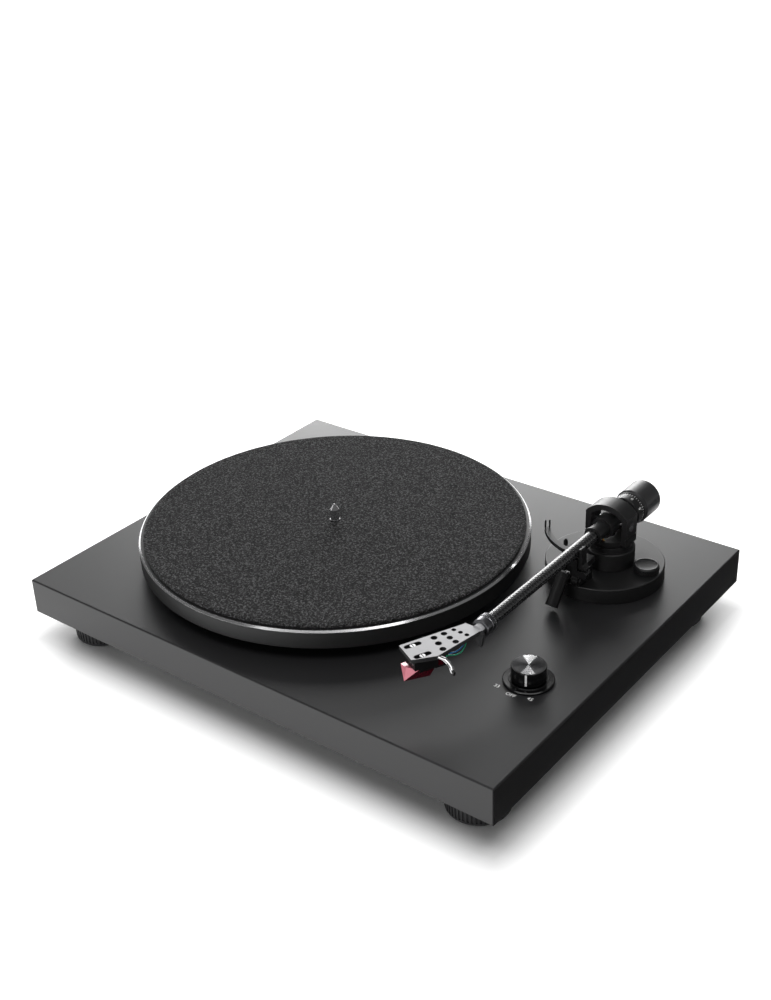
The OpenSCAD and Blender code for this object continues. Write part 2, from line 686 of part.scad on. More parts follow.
module headshell() {
    row_at = [[2.6, 9.1], [3.2, 16.8], [3.9, 24.6]];
    row_step = [[4.65, -2.1], [5.8, -0.9], [6.85, 0.7]];
    row_r = [1.6, 2.1, 2.25];
    slot_l = 12.5;
    color("#a9a9ad") union() {
        in_shell() translate([0, 0, -shell_t]) linear_extrude(shell_t) difference() {
            polygon([[0, 0], [12.4, 5.2], [22.5, -32.5], [17.9, -49], [0, -47.9]]);
            for (row = [0 : 2], k = [0 : 2])
                translate([row_at[row][0] + k * row_step[row][0], -row_at[row][1] - k * row_step[row][1]])
                    circle(r = row_r[row]);
            for (k = [0, 1]) translate([4.1 + k * slot_spacing, -slot_row]) {
                for (end = [-1, 1]) translate([0, end * (slot_l / 2 - 2)]) circle(r = 2);
                translate([-2, 2 - slot_l / 2]) square([4, slot_l - 4]);
            }
        }
        // rear flange with a web that comes to a point under the neck
        in_arm() translate([0, shell_back[1] + 1.2, shell_top]) rotate([90, 0, 0]) linear_extrude(2.4)
            polygon([[-10.7, 0], [2.9, 0], [5.2, -3], [3.4, -12.5], [1.6, -12.5], [-2.5, -7],
                     [-10.7, -shell_t - 1]]);
        in_arm() rod_y(3.9, shell_back[1], -tube_reach - seat);
    }
}
module finger_lift() {
    path = [[21.5, -31.2, -1.6], [24.6, -29.2, -2.2], [27.6, -28, -3.9], [30.3, -27.5, -5.9], [33.4, -28, -7.3]];
    color("#b4b4b8") difference() {
        in_shell() for (k = [0 : len(path) - 2]) hull() {
            translate(path[k]) scale([1, 1, 0.55]) sphere(r = 1.7, $fn = 20);
            translate(path[k + 1]) scale([1, 1, 0.55]) sphere(r = 1.7, $fn = 20);
        }
        // the root is cut square against the shell's edge
        in_shell() translate([0, 0, -10]) linear_extrude(20)
            polygon([[0, 0], [12.4, 5.2], [22.5 + seat, -32.5], [17.9 + seat, -49], [0, -47.9]]);
    }
}
module cartridge() {
    top = -shell_t - seat;
    color("#141415") in_shell() difference() {
        union() {
            box([2.2, -47, -11.5], [18.7, -30, top]);
            box([4, -31, -13.5], [16.9, -23.5, top - 2]);
            for (x = [7, 9.4, 11.5, 13.9], z = [-9])
                translate([x, 0, z]) rod_y(0.5, -24, -20);
        }
        for (k = [0, 1]) translate([4.1 + k * slot_spacing, -slot_row, -12]) cylinder(r = 1.3, h = 12);
        box([2, -47.5, -12], [19, stylus_seat_y, stylus_seat_z]);
    }
}
// The stylus assembly plugs into the notch under the cartridge's front.
module stylus() {
    color("#b01c34") in_shell() {
        difference() {
            polyhedron(
                points = [[2.6, -48.6, -12], [11.4, -49.6, -9.3], [18.3, -44.1, -9.3], [10.45, -50.7, -20.3],
                          [18.3, -36.1, -16.4], [2.6, -36.1, -16.4], [18.3, -33, -12], [2.6, -33, -12]],
                faces = [[0, 1, 3], [0, 7, 1], [0, 3, 5], [0, 5, 7], [1, 2, 3], [1, 7, 2],
                         [2, 4, 3], [2, 6, 4], [2, 7, 6], [3, 4, 5], [4, 6, 7, 5]]);
            box([2, stylus_seat_y - seat, -11.5 - seat], [19, -30, stylus_seat_z]);
        }
        translate([10.45, -48.9, -20.6]) cylinder(r1 = 0.15, r2 = 0.45, h = 2, $fn = 24);
    }
}
module cartridge_screws() {
    color("#d8d8da") in_shell() for (k = [0, 1])
        translate([4.1 + k * slot_spacing, -slot_row, 0]) difference() {
            union() {
                translate([0, 0, -2.2]) cylinder(r = 1.9, h = 1.9);
                translate([0, 0, -11]) cylinder(r = 1.25, h = 9);
            }
            translate([-3, -0.35, -0.9]) cube([6, 0.7, 0.7]);
        }
}
module headshell_leads() {
    color("#2c8a5a") in_shell() for (k = [0 : 3])
        translate([5.6 + 2.9 * k, -16.2 + k, -8.2 - 0.8 * (k % 2)]) rotate([90, 0, 0]) translate([0, 0, -15])
            cylinder(r = 0.6, h = 17);
}
module locking_collar() {
    front = shell_back[1] + 3;
    middle = front + 5.5;
    back = middle + 4.5;
    color("#8c8c90") in_arm() difference() {
        union() {
            rod_y(6, front, middle);
            rod_y(6.8, middle, back);
        }
        rod_y(3.9 + fit, front - 1, -tube_reach - fit);
        rod_y(tube_r + fit, -tube_reach - fit - eps, back + 1);
    }
}

// ---- counterweight and anti-skate ----

module counterweight_bush() {
    color("#1c1c1c") in_weight() translate([0, 0, 19]) tube(7.2, stub_r + fit, 30);
}
module counterweight() {
    color("#4a4a4d") in_weight() turned([
        [7.2 + seat, 27.6], [weight_r - 1.8, 27.6], [weight_r - 1.8, 28.4], [weight_r - 1, 28.4],
        [weight_r - 1, 29.8], [weight_r, 30.6], [weight_r, 50.5], [weight_r - 1, 51.5],
        [7.2 + seat, 51.5]]);
}
module force_dial() {
    color("#2a2a2c") in_weight() turned([
        [7.2 + fit, 19.2], [weight_r - 2, 19.2], [weight_r - 1.4, 19.8], [weight_r - 1.2, 27.2],
        [7.2 + fit, 27.2]]);
}
module anti_skate_knob() {
    color("#2f2f31") at_pivot(deck_z) translate([skate_at[0], skate_at[1], 0]) turned([
        [0, 5], [2, 5], [2, base_h + 0.4], [skate_r, base_h + 0.4], [skate_r, base_h + 5],
        [skate_r - 0.5, base_h + 5.5], [0, base_h + 5.5]]);
}

plinth();
bottom_cover();
cover_screws();
foot_front_left();
foot_front_right();
foot_rear_left();
foot_rear_right();
foot_pads();
bearing_housing();
bearing_bush();
thrust_ball();
bearing_screws();
motor();
motor_plate();
motor_grommets();
motor_screws();
drive_belt();
control_board();
speed_switch();
knob_bezel();
rear_panel();
rca_jacks();
dc_inlet();
ground_post();
tonearm_base();
base_nut();
pedestal();
yaw_bearings();
arm_rest();
lift_housing();
platter();
platter_mat();
sub_platter();
spindle();
motor_pulley();
speed_knob();
knob_cap();
rest_latch();
cue_lever();
lever_screw();
lift_shaft();
lift_platform();
lift_piston();
gimbal_yoke();
yaw_shaft();
pivot_screws();
arm_tube();
arm_barrel();
counterweight_stub();
headshell();
finger_lift();
cartridge();
stylus();
cartridge_screws();
headshell_leads();
locking_collar();
counterweight_bush();
counterweight();
force_dial();
anti_skate_knob();
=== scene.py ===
"""Looks of a belt-driven record player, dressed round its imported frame.

Lengths are millimetres in the frame of the part: X right, Y back, Z up, with the origin at the
centre of the plinth on the surface it stands on. MM turns them into metres.
"""

import json
import logging
import math
from abc import ABC, abstractmethod
from collections.abc import Callable, Iterator, Sequence
from contextlib import contextmanager
from dataclasses import dataclass, field
from enum import Enum

import bmesh
import bpy
from mathutils import Matrix, Vector


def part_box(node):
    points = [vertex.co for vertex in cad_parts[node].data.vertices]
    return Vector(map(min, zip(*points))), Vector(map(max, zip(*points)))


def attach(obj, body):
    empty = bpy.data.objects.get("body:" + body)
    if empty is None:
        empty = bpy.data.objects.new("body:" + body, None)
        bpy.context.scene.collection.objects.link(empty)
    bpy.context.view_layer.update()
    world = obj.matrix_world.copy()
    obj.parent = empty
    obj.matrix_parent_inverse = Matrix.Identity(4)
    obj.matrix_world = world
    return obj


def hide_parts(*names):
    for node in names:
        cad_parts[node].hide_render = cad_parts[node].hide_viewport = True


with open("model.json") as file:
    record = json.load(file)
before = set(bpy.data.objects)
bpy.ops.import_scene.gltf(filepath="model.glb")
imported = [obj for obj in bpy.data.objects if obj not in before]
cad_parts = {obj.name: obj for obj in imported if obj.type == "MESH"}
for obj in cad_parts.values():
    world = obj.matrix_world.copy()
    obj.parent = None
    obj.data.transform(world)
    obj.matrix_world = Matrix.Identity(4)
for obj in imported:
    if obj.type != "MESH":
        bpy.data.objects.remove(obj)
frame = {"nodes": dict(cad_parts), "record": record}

MM = 0.001
Colour = tuple[float, float, float]
Point = tuple[float, float, float]
log = logging.getLogger("record_player")

# The headshell's origin, left of, in front of and over the arm's pivot, and its offset angle.
NECK_ASIDE = 10.7
NECK_REACH = 172.9
NECK_RISE = 1.5
OFFSET_ANGLE = 24.4


# ---------------------------------------------------------------- hand tools


@contextmanager
def editing(piece: bpy.types.Object) -> Iterator[None]:
    """Holds one object in edit mode, with nothing selected in it.

    Args:
        piece: the object to shape.
    """
    bpy.ops.object.select_all(action="DESELECT")
    piece.select_set(True)
    bpy.context.view_layer.objects.active = piece
    bpy.ops.object.mode_set(mode="EDIT")
    bpy.ops.mesh.select_mode(type="FACE")
    bpy.ops.mesh.select_all(action="DESELECT")
    yield
    bpy.ops.object.mode_set(mode="OBJECT")


def pick(test: Callable[[bmesh.types.BMFace], bool]) -> None:
    """Selects the faces of the object in edit mode that pass a test, and no others.

    Args:
        test: says whether a face is wanted.
    """
    bpy.ops.mesh.select_all(action="DESELECT")
    mesh = bmesh.from_edit_mesh(bpy.context.object.data)
    for face in mesh.faces:
        if test(face):
            face.select_set(True)
    bmesh.update_edit_mesh(bpy.context.object.data)


def added(name: str) -> bpy.types.Object:
    """Names the primitive that was just added and bakes its place into its mesh.

    Args:
        name: the piece's name.

    Returns:
        The new object, at the origin.
    """
    piece = bpy.context.object
    piece.name = name
    piece.data.name = name
    bpy.ops.object.transform_apply(location=True, rotation=True, scale=True)
    return piece


def block(name: str, low: Point, high: Point) -> bpy.types.Object:
    """Adds a rectangular block between two corners.

    Args:
        name: the piece's name.
        low: lowest corner, in millimetres.
        high: highest corner, in millimetres.

    Returns:
        The block.
    """
    bpy.ops.object.select_all(action="DESELECT")
    middle = (Vector(low) + Vector(high)) * MM / 2
    size = (Vector(high) - Vector(low)) * MM
    bpy.ops.mesh.primitive_cube_add(size=1, location=middle)
    bpy.context.object.scale = size
    return added(name)


def turned(name: str, section: Sequence[tuple[float, float]], sides: int = 96,
           bore: float = 0.0) -> bpy.types.Object:
    """Shapes a turned piece round +Z from a disc that is extruded and scaled step by step.

    Args:
        name: the piece's name.
        section: (radius, height) points from the bottom edge up the outside, in millimetres.
        sides: how many flats go round it.
        bore: radius of a hole right through, or 0 for none.

    Returns:
        The closed piece, standing on the origin's axis.
    """
    radius, height = section[0]
    bpy.ops.object.select_all(action="DESELECT")
    bpy.ops.mesh.primitive_circle_add(vertices=sides, radius=radius * MM, fill_type="NGON",
                                      location=(0, 0, height * MM))
    piece = added(name)
    path = list(section[1:])
    if bore:
        path += [(bore, section[-1][1]), (bore, section[0][1])]
    with editing(piece):
        bpy.ops.mesh.select_all(action="SELECT")
        for next_radius, next_height in path:
            rise = (next_height - height) * MM
            bpy.ops.mesh.extrude_region_move(TRANSFORM_OT_translate={"value": (0, 0, rise)})
            scale = next_radius / radius
            bpy.ops.transform.resize(value=(scale, scale, 1), center_override=(0, 0, next_height * MM))
            radius, height = next_radius, next_height
        if bore:
            close_bore(sides)
        bpy.ops.mesh.select_all(action="SELECT")
        bpy.ops.mesh.normals_make_consistent(inside=False)
    return piece


def close_bore(sides: int) -> None:
    """Joins the two open rims of a bored piece in edit mode, at the face that it was started from.

    Args:
        sides: how many flats go round the piece.
    """
    pick(lambda face: len(face.verts) == sides)
    bpy.ops.mesh.delete(type="FACE")
    bpy.ops.mesh.select_mode(type="EDGE")
    bpy.ops.mesh.select_non_manifold(extend=False)
    bpy.ops.mesh.bridge_edge_loops()
    bpy.ops.mesh.select_mode(type="FACE")


def stand(piece: bpy.types.Object, at: Point, axis: Point = (0, 0, 1),
          spin: float = 0.0) -> bpy.types.Object:
    """Takes a piece that was made on the origin's +Z to its place, and bakes that into its mesh.

    Args:
        piece: the piece to move.
        at: where its origin goes, in millimetres.
        axis: where its +Z points.
        spin: how far it first turns about its own axis, in degrees.

    Returns:
        The same piece.
    """
    turn = Vector((0, 0, 1)).rotation_difference(Vector(axis)).to_matrix().to_4x4()
    own = Matrix.Rotation(math.radians(spin), 4, "Z")
    piece.data.transform(Matrix.Translation(Vector(at) * MM) @ turn @ own)
    return piece


def finished(piece: bpy.types.Object, kind: str, **settings: object) -> bpy.types.Object:
    """Adds a modifier to a piece and applies it.

    Args:
        piece: the piece to finish.
        kind: the modifier's type.
        **settings: the modifier's own settings.

    Returns:
        The same piece.
    """
    bpy.ops.object.select_all(action="DESELECT")
    piece.select_set(True)
    bpy.context.view_layer.objects.active = piece
    modifier = piece.modifiers.new(kind.lower(), kind)
    for key, value in settings.items():
        setattr(modifier, key, value)
    bpy.ops.object.modifier_apply(modifier=modifier.name)
    return piece


def eased(piece: bpy.types.Object, width: float, segments: int = 2, angle: float = 32) -> bpy.types.Object:
    """Rounds the sharp edges of a piece and shades the rest smooth.

    Args:
        piece: the piece to finish.
        width: how wide the rounding is, in millimetres.
        segments: how many flats it has.
        angle: the smallest edge angle that counts as sharp, in degrees.

    Returns:
        The same piece.
    """
    limit = math.radians(angle)
    finished(piece, "BEVEL", width=width * MM, segments=segments, limit_method="ANGLE", angle_limit=limit)
    bpy.ops.object.shade_smooth_by_angle(angle=limit)
    return finished(piece, "WEIGHTED_NORMAL", keep_sharp=True, weight=80)


def ribbed(piece: bpy.types.Object, sides: int, low: float, high: float, depth: float) -> None:
    """Cuts grooves into every other flat of a turned piece, between two heights.

    Args:
        piece: a turned piece on the origin's axis.
        sides: how many flats go round it.
        low: bottom of the band, in millimetres.
        high: top of the band, in millimetres.
        depth: how deep the grooves are, in millimetres.
    """
    step = 2 * math.pi / sides

    def wanted(face: bmesh.types.BMFace) -> bool:
        """Says whether a face is every other flat of the band."""
        middle = face.calc_center_median()
        turn = round(math.atan2(middle.y, middle.x) / step - 0.5)
        return low * MM < middle.z < high * MM and abs(face.normal.z) < 0.5 and turn % 2 == 0

    with editing(piece):
        pick(wanted)
        bpy.ops.mesh.inset(use_individual=True, thickness=0.05 * MM, depth=-depth * MM)


def merged(node: str) -> bpy.types.Object:
    """Copies a CAD node's mesh as one joined surface with whole flat faces.

    Args:
        node: the node's name.

    Returns:
        The copy, as an object of its own.
    """
    source = frame["nodes"][node]
    copy = bpy.data.objects.new(f"{node}_eased", source.data.copy())
    bpy.context.scene.collection.objects.link(copy)
    copy.data.materials.clear()
    with editing(copy):
        bpy.ops.mesh.select_all(action="SELECT")
        bpy.ops.mesh.customdata_custom_splitnormals_clear()
        bpy.ops.mesh.remove_doubles(threshold=0.002 * MM)
        bpy.ops.mesh.dissolve_limited(angle_limit=math.radians(0.6))
    return copy


def lettering(name: str, words: str, height: float, thickness: float) -> bpy.types.Object:
    """Makes flat lettering, centred on the origin and facing +Z.

    Args:
        name: the piece's name.
        words: what it says.
        height: height of its capitals, in millimetres.
        thickness: how far it stands up, in millimetres.

    Returns:
        The lettering as a mesh.
    """
    bpy.ops.object.select_all(action="DESELECT")
    bpy.ops.object.text_add()
    text = bpy.context.object
    text.data.body = words
    text.data.size = height * MM * 1.4
    text.data.align_x = "CENTER"
    text.data.align_y = "CENTER"
    text.data.extrude = thickness * MM / 2
    text.data.resolution_u = 4
    bpy.ops.object.convert(target="MESH")
    return added(name)


def wire(name: str, route: Sequence[Point], radius: float) -> bpy.types.Object:
    """Makes a thin wire along a smooth route, with closed ends.

    Args:
        name: the piece's name.
        route: the points that pull the route, in millimetres.
        radius: the wire's radius, in millimetres.

    Returns:
        The wire as a mesh.
    """
    bpy.ops.object.select_all(action="DESELECT")
    bpy.ops.curve.primitive_nurbs_path_add()
    curve = bpy.context.object.data
    curve.splines.clear()
    spline = curve.splines.new("NURBS")
    spline.points.add(len(route) - 1)
    for point, place in zip(spline.points, route):
        point.co = (*(Vector(place) * MM), 1)
    spline.use_endpoint_u = True
    spline.order_u = 4
    curve.bevel_depth = radius * MM
    curve.bevel_resolution = 3
    curve.resolution_u = 10
    curve.use_fill_caps = True
    bpy.ops.object.convert(target="MESH")
    piece = added(name)
    bpy.ops.object.shade_smooth_by_angle(angle=math.radians(50))
    return piece


# ---------------------------------------------------------------- shader kit


class Tone:
    """A number that varies over a surface, with plain arithmetic."""

    def __init__(self, tree: bpy.types.NodeTree, socket: bpy.types.NodeSocket) -> None:
        """Keeps the node tree and the socket that carries the number."""
        self.tree = tree
        self.socket = socket

    def math(self, operation: str, *others: "Tone | float", backwards: bool = False) -> "Tone":
        """Adds a Math node.

        Args:
            operation: the node's operation.
            *others: its further terms.
            backwards: whether the terms are taken in reverse order.

        Returns:
            The node's result.
        """
        node = self.tree.nodes.new("ShaderNodeMath")
        node.operation = operation
        terms = [self, *others]
        if backwards:
            terms.reverse()
        for slot, term in zip(node.inputs, terms):
            if isinstance(term, Tone):
                self.tree.links.new(term.socket, slot)
            else:
                slot.default_value = term
        return Tone(self.tree, node.outputs[0])

    def __add__(self, other: "Tone | float") -> "Tone":
        """Sum."""
        return self.math("ADD", other)

    def __sub__(self, other: "Tone | float") -> "Tone":
        """Difference."""
        return self.math("SUBTRACT", other)

    def __rsub__(self, other: float) -> "Tone":
        """Difference from a plain number."""
        return self.math("SUBTRACT", other, backwards=True)

    def __mul__(self, other: "Tone | float") -> "Tone":
        """Product."""
        return self.math("MULTIPLY", other)

    def __truediv__(self, other: "Tone | float") -> "Tone":
        """Quotient."""
        return self.math("DIVIDE", other)

    def __gt__(self, other: "Tone | float") -> "Tone":
        """1 where this is the greater, and 0 elsewhere."""
        return self.math("GREATER_THAN", other)

    __radd__ = __add__
    __rmul__ = __mul__

    def between(self, low: float, high: float) -> "Tone":
        """Rises from 0 at low to 1 at high, and stays level outside.

        Args:
            low: where the rise starts.
            high: where it ends.

        Returns:
            The clamped rise.
        """
        rise = (self - low) / (high - low)
        return rise.math("MAXIMUM", 0.0).math("MINIMUM", 1.0)


class Recipe:
    """One material while it is put together."""

    def __init__(self, name: str) -> None:
        """Starts an empty material under the given name."""
        self.material = bpy.data.materials.new(name)
        self.material.use_nodes = True
        self.tree = self.material.node_tree
        self.tree.nodes.clear()
        self.place = self.node("ShaderNodeTexCoord").outputs["Object"]

    def node(self, kind: str, settings: dict[str, object] | None = None,
             inputs: dict[str | int, object] | None = None) -> bpy.types.Node:
        """Adds any node.

        Args:
            kind: the node's type.
            settings: its options.
            inputs: its inputs' values, or the tones and sockets linked to them.

        Returns:
            The node.
        """
        node = self.tree.nodes.new(kind)
        for key, value in (settings or {}).items():
            setattr(node, key, value)
        for key, value in (inputs or {}).items():
            source = value.socket if isinstance(value, Tone) else value
            if isinstance(source, bpy.types.NodeSocket):
                self.tree.links.new(source, node.inputs[key])
            else:
                node.inputs[key].default_value = source
        return node

    def axes(self, centre: Point = (0, 0, 0)) -> tuple[Tone, Tone, Tone]:
        """Gives a surface point's place as three numbers in millimetres.

        Args:
            centre: what they are measured from, in millimetres.

        Returns:
            X, Y and Z.
        """
        parts = self.node("ShaderNodeSeparateXYZ", None, {0: self.place}).outputs
        return tuple(Tone(self.tree, part) * 1000.0 - offset for part, offset in zip(parts, centre))

    def noise(self, size: float, detail: float = 2.0, rough: float = 0.5,
              stretch: Point = (1, 1, 1), warp: float = 0.0) -> Tone:
        """Gives soft random variation.

        Args:
            size: width of its patches, in millimetres.
            detail: how many finer layers it has.
            rough: how strong the finer layers are.
            stretch: how much finer the patches are along X, Y and Z.
            warp: how much they are pulled out of shape.

        Returns:
            The variation, from 0 to 1.
        """
        place = self.node("ShaderNodeVectorMath", {"operation": "MULTIPLY"}, {0: self.place, 1: stretch})
        values = {"Vector": place.outputs[0], "Scale": 1000.0 / size, "Detail": detail,
                  "Roughness": rough, "Distortion": warp}
        return Tone(self.tree, self.node("ShaderNodeTexNoise", None, values).outputs[0])

    def noise_along(self, line: Tone, size: float, detail: float = 2.0) -> Tone:
        """Gives random variation along one number only, as turning marks have.

        Args:
            line: the number, in millimetres.
            size: width of its steps, in millimetres.
            detail: how many finer layers it has.

        Returns:
            The variation, from 0 to 1.
        """
        values = {"W": line, "Scale": 1.0 / size, "Detail": detail}
        texture = self.node("ShaderNodeTexNoise", {"noise_dimensions": "1D"}, values)
        return Tone(self.tree, texture.outputs[0])

    def mix(self, factor: Tone | float, first: object, second: object) -> bpy.types.NodeSocket:
        """Mixes two colours.

        Args:
            factor: 0 for the first and 1 for the second.
            first: a colour or a colour socket.
            second: a colour or a colour socket.

        Returns:
            The mixed colour.
        """
        pair = [(*c, 1.0) if isinstance(c, tuple) else c for c in (first, second)]
        inputs = {0: factor, 6: pair[0], 7: pair[1]}
        return self.node("ShaderNodeMix", {"data_type": "RGBA"}, inputs).outputs[2]

    def relief(self, height: Tone, depth: float) -> bpy.types.NodeSocket:
        """Turns a height into a bumped normal.

        Args:
            height: the height, from 0 to 1.
            depth: how deep that is, in millimetres.

        Returns:
            The normal.
        """
        return self.node("ShaderNodeBump", None, {"Height": height, "Distance": depth * MM}).outputs[0]

    def shade(self, colour: object, roughness: Tone | float, normal: bpy.types.NodeSocket | None = None,
              metal: Tone | float = 0.0, **fixed: float) -> bpy.types.Material:
        """Ends the recipe in one surface shader.

        Args:
            colour: the base colour or its socket.
            roughness: how blurred its reflections are.
            normal: the bumped normal.
            metal: 1 where it is bare metal.
            **fixed: further inputs that are the same all over, with _ for a space.

        Returns:
            The finished material.
        """
        base = (*colour, 1.0) if isinstance(colour, tuple) else colour
        inputs: dict[str | int, object] = {"Base Color": base, "Roughness": roughness, "Metallic": metal}
        if normal is not None:
            inputs["Normal"] = normal
        inputs.update({key.replace("_", " "): value for key, value in fixed.items()})
        surface = self.node("ShaderNodeBsdfPrincipled", None, inputs)
        self.node("ShaderNodeOutputMaterial", None, {"Surface": surface.outputs[0]})
        return self.material


# ---------------------------------------------------------------- finishes


class Finish(ABC):
    """A surface finish that one of the record's material slots asks for."""

    @abstractmethod
    def make(self, slot: str) -> bpy.types.Material:
        """Builds the material under the slot's name."""


@dataclass(frozen=True)
class Coat(Finish):
    """Sprayed or powdered paint: an even film with a fine orange peel.

    Attributes:
        colour: the film's colour.
        roughness: how blurred its reflections are.
        grain: width of the peel's bumps, in millimetres.
        depth: depth of the peel, in millimetres.
        metal: how metallic it looks.
        gloss: strength of a clear coat over it.
    """

    colour: Colour
    roughness: float = 0.4
    grain: float = 0.35
    depth: float = 0.006
    metal: float = 0.0
    gloss: float = 0.0

    def make(self, slot: str) -> bpy.types.Material:
        """Builds the paint, a shade darker and smoother in broad soft patches."""
        recipe = Recipe(slot)
        patches = recipe.noise(60, 3)
        grain = recipe.noise(self.grain, 3, 0.6)
        light = tuple(channel * 1.3 + 0.001 for channel in self.colour)
        colour = recipe.mix(patches * 0.6 + grain * 0.4, self.colour, light)
        roughness = patches * 0.06 + grain * 0.05 + (self.roughness - 0.055)
        normal = recipe.relief(grain, self.depth)
        return recipe.shade(colour, roughness, normal, self.metal,
                            Coat_Weight=self.gloss, Coat_Roughness=0.08)


@dataclass(frozen=True)
class Moulding(Finish):
    """Moulded plastic or rubber with a spark-eroded texture.

    Attributes:
        colour: the plastic's colour.
        roughness: how blurred its reflections are.
        grain: width of the texture's pits, in millimetres.
        depth: depth of the pits, in millimetres.
        shine: strength of its reflections.
    """

    colour: Colour
    roughness: float = 0.45
    grain: float = 0.22
    depth: float = 0.012
    shine: float = 0.5

    def make(self, slot: str) -> bpy.types.Material:
        """Builds the plastic, with pits that hold a little more shine than the lands between."""
        recipe = Recipe(slot)
        pits = recipe.noise(self.grain, 4, 0.65)
        cloud = recipe.noise(14, 2)
        worn = tuple(channel * 1.6 + 0.002 for channel in self.colour)
        colour = recipe.mix(pits * cloud * 1.4, self.colour, worn)
        roughness = pits * 0.14 + (self.roughness - 0.07)
        return recipe.shade(colour, roughness, recipe.relief(pits, self.depth),
                            Specular_IOR_Level=self.shine)


@dataclass(frozen=True)
class Metal(Finish):
    """Bare metal with fine random scratches.

    Attributes:
        colour: the metal's colour.
        roughness: how blurred its reflections are.
        scratch: depth of its marks, in millimetres.
        stretch: how much finer the marks are along X, Y and Z.
    """

    colour: Colour
    roughness: float = 0.2
    scratch: float = 0.002
    stretch: Point = (1, 1, 1)

    def make(self, slot: str) -> bpy.types.Material:
        """Builds the metal, slightly tarnished in soft patches."""
        recipe = Recipe(slot)
        marks = recipe.noise(0.5, 5, 0.7, self.stretch)
        tarnish = recipe.noise(9, 3, 0.55)
        dull = tuple(channel * 0.72 for channel in self.colour)
        colour = recipe.mix(tarnish.between(0.35, 0.8), self.colour, dull)
        roughness = marks * 0.12 + tarnish * 0.08 + (self.roughness - 0.1)
        return recipe.shade(colour, roughness, recipe.relief(marks, self.scratch), 1.0)


@dataclass(frozen=True)
class SpunPaintedHighlight(Finish):
    """Metal faced with fine rings, with a painted highlight in two opposite sectors.

    Attributes:
        node: the CAD node whose middle the rings go round.
        lit: colour of the painted highlight sectors.
        dim: colour outside the painted highlight.
        line: direction of the painted highlight sectors, in degrees.
        spread: half the angle of a painted highlight sector, in degrees.
        pitch: width of the rings, in millimetres.
        depth: depth of the rings, in millimetres.
    """

    node: str
    lit: Colour = (0.9, 0.9, 0.91)
    dim: Colour = (0.02, 0.02, 0.021)
    line: float = 118.0
    spread: float = 25.0
    pitch: float = 0.16
    depth: float = 0.012

    def make(self, slot: str) -> bpy.types.Material:
        """Builds the metal, with tool marks that change from ring to ring and a highlight painted by
        direction round the middle.
        """
        recipe = Recipe(slot)
        centre = middle(self.node)
        x, y, _ = recipe.axes((centre.x, centre.y, 0))
        away = (x * x + y * y + 0.001).math("SQRT")
        line = math.radians(self.line)
        toward = ((x * math.cos(line) + y * math.sin(line)) / away).math("ABSOLUTE")
        edge = math.cos(math.radians(self.spread))
        rings = recipe.noise_along(away, self.pitch, 3)
        # painted highlight: the bright sectors and their soft fringe are painted by direction round the cap
        bright = (toward + rings * 0.02).between(edge - 0.015, edge + 0.035)
        halo = toward.between(0.25, edge) * 0.1
        colour = recipe.mix(bright + halo, self.dim, self.lit)
        return recipe.shade(colour, rings * 0.1 + 0.16, recipe.relief(rings, self.depth), 1.0)


@dataclass(frozen=True)
class TopFaceOverPaintedShade(Finish):
    """Anodised metal with a fine-blasted top face, and painted shade on the sides under it.

    Attributes:
        rise: height of the top face over the arm's axis, in millimetres.
        face: colour of the top face.
        side: painted shade colour of everything under it.
        skin: how far the top's colour reaches down, in millimetres.
    """

    rise: float
    face: Colour
    side: Colour
    skin: float = 0.12

    def make(self, slot: str) -> bpy.types.Material:
        """Builds the metal, split just under the height of its top face, with shade painted below the split.
        """
        recipe = Recipe(slot)
        _, _, z = recipe.axes((0, 0, middle("arm_tube").z + self.rise))
        # painted shade: under the top face the colour turns to the dark side colour
        top = z > -self.skin
        blast = recipe.noise(0.22, 3, 0.6)
        cloud = recipe.noise(12, 3)
        dull = tuple(channel * 0.86 for channel in self.face)
        colour = recipe.mix(top, self.side, recipe.mix(blast * 0.5 + cloud * 0.5, dull, self.face))
        roughness = blast * 0.1 + cloud * 0.05 + 0.34
        return recipe.shade(colour, roughness, recipe.relief(blast, 0.006))


@dataclass(frozen=True)
class PlatterCoat(Finish):
    """Satin black paint that stops at a bare bevel round the top of the rim.

    Attributes:
        bevel: height of the bare bevel, in millimetres.
        paint: the paint's colour.
        bare: the bare metal's colour.
    """

    bevel: float = 1.35
    paint: Colour = (0.004, 0.004, 0.0042)
    bare: Colour = (0.86, 0.86, 0.87)

    def make(self, slot: str) -> bpy.types.Material:
        """Builds the paint and the bevel, split by height and by distance from the spindle."""
        recipe = Recipe(slot)
        low, high = span("platter")
        centre = (low + high) / 2
        x, y, z = recipe.axes((centre.x, centre.y, high.z))
        away = (x * x + y * y).math("SQRT")
        edge = (z > -self.bevel) * (away > half_width("platter") - self.bevel + 0.02)
        marks = recipe.noise_along(z, 0.14, 3)
        peel = recipe.noise(0.4, 3)
        colour = recipe.mix(edge, recipe.mix(peel, self.paint, (0.007, 0.007, 0.0073)), self.bare)
        roughness = (1.0 - edge) * (peel * 0.06 + 0.45) + edge * (marks * 0.1 + 0.12)
        normal = recipe.relief(peel * 0.5 + marks * 0.5, 0.006)
        return recipe.shade(colour, roughness, normal, edge)


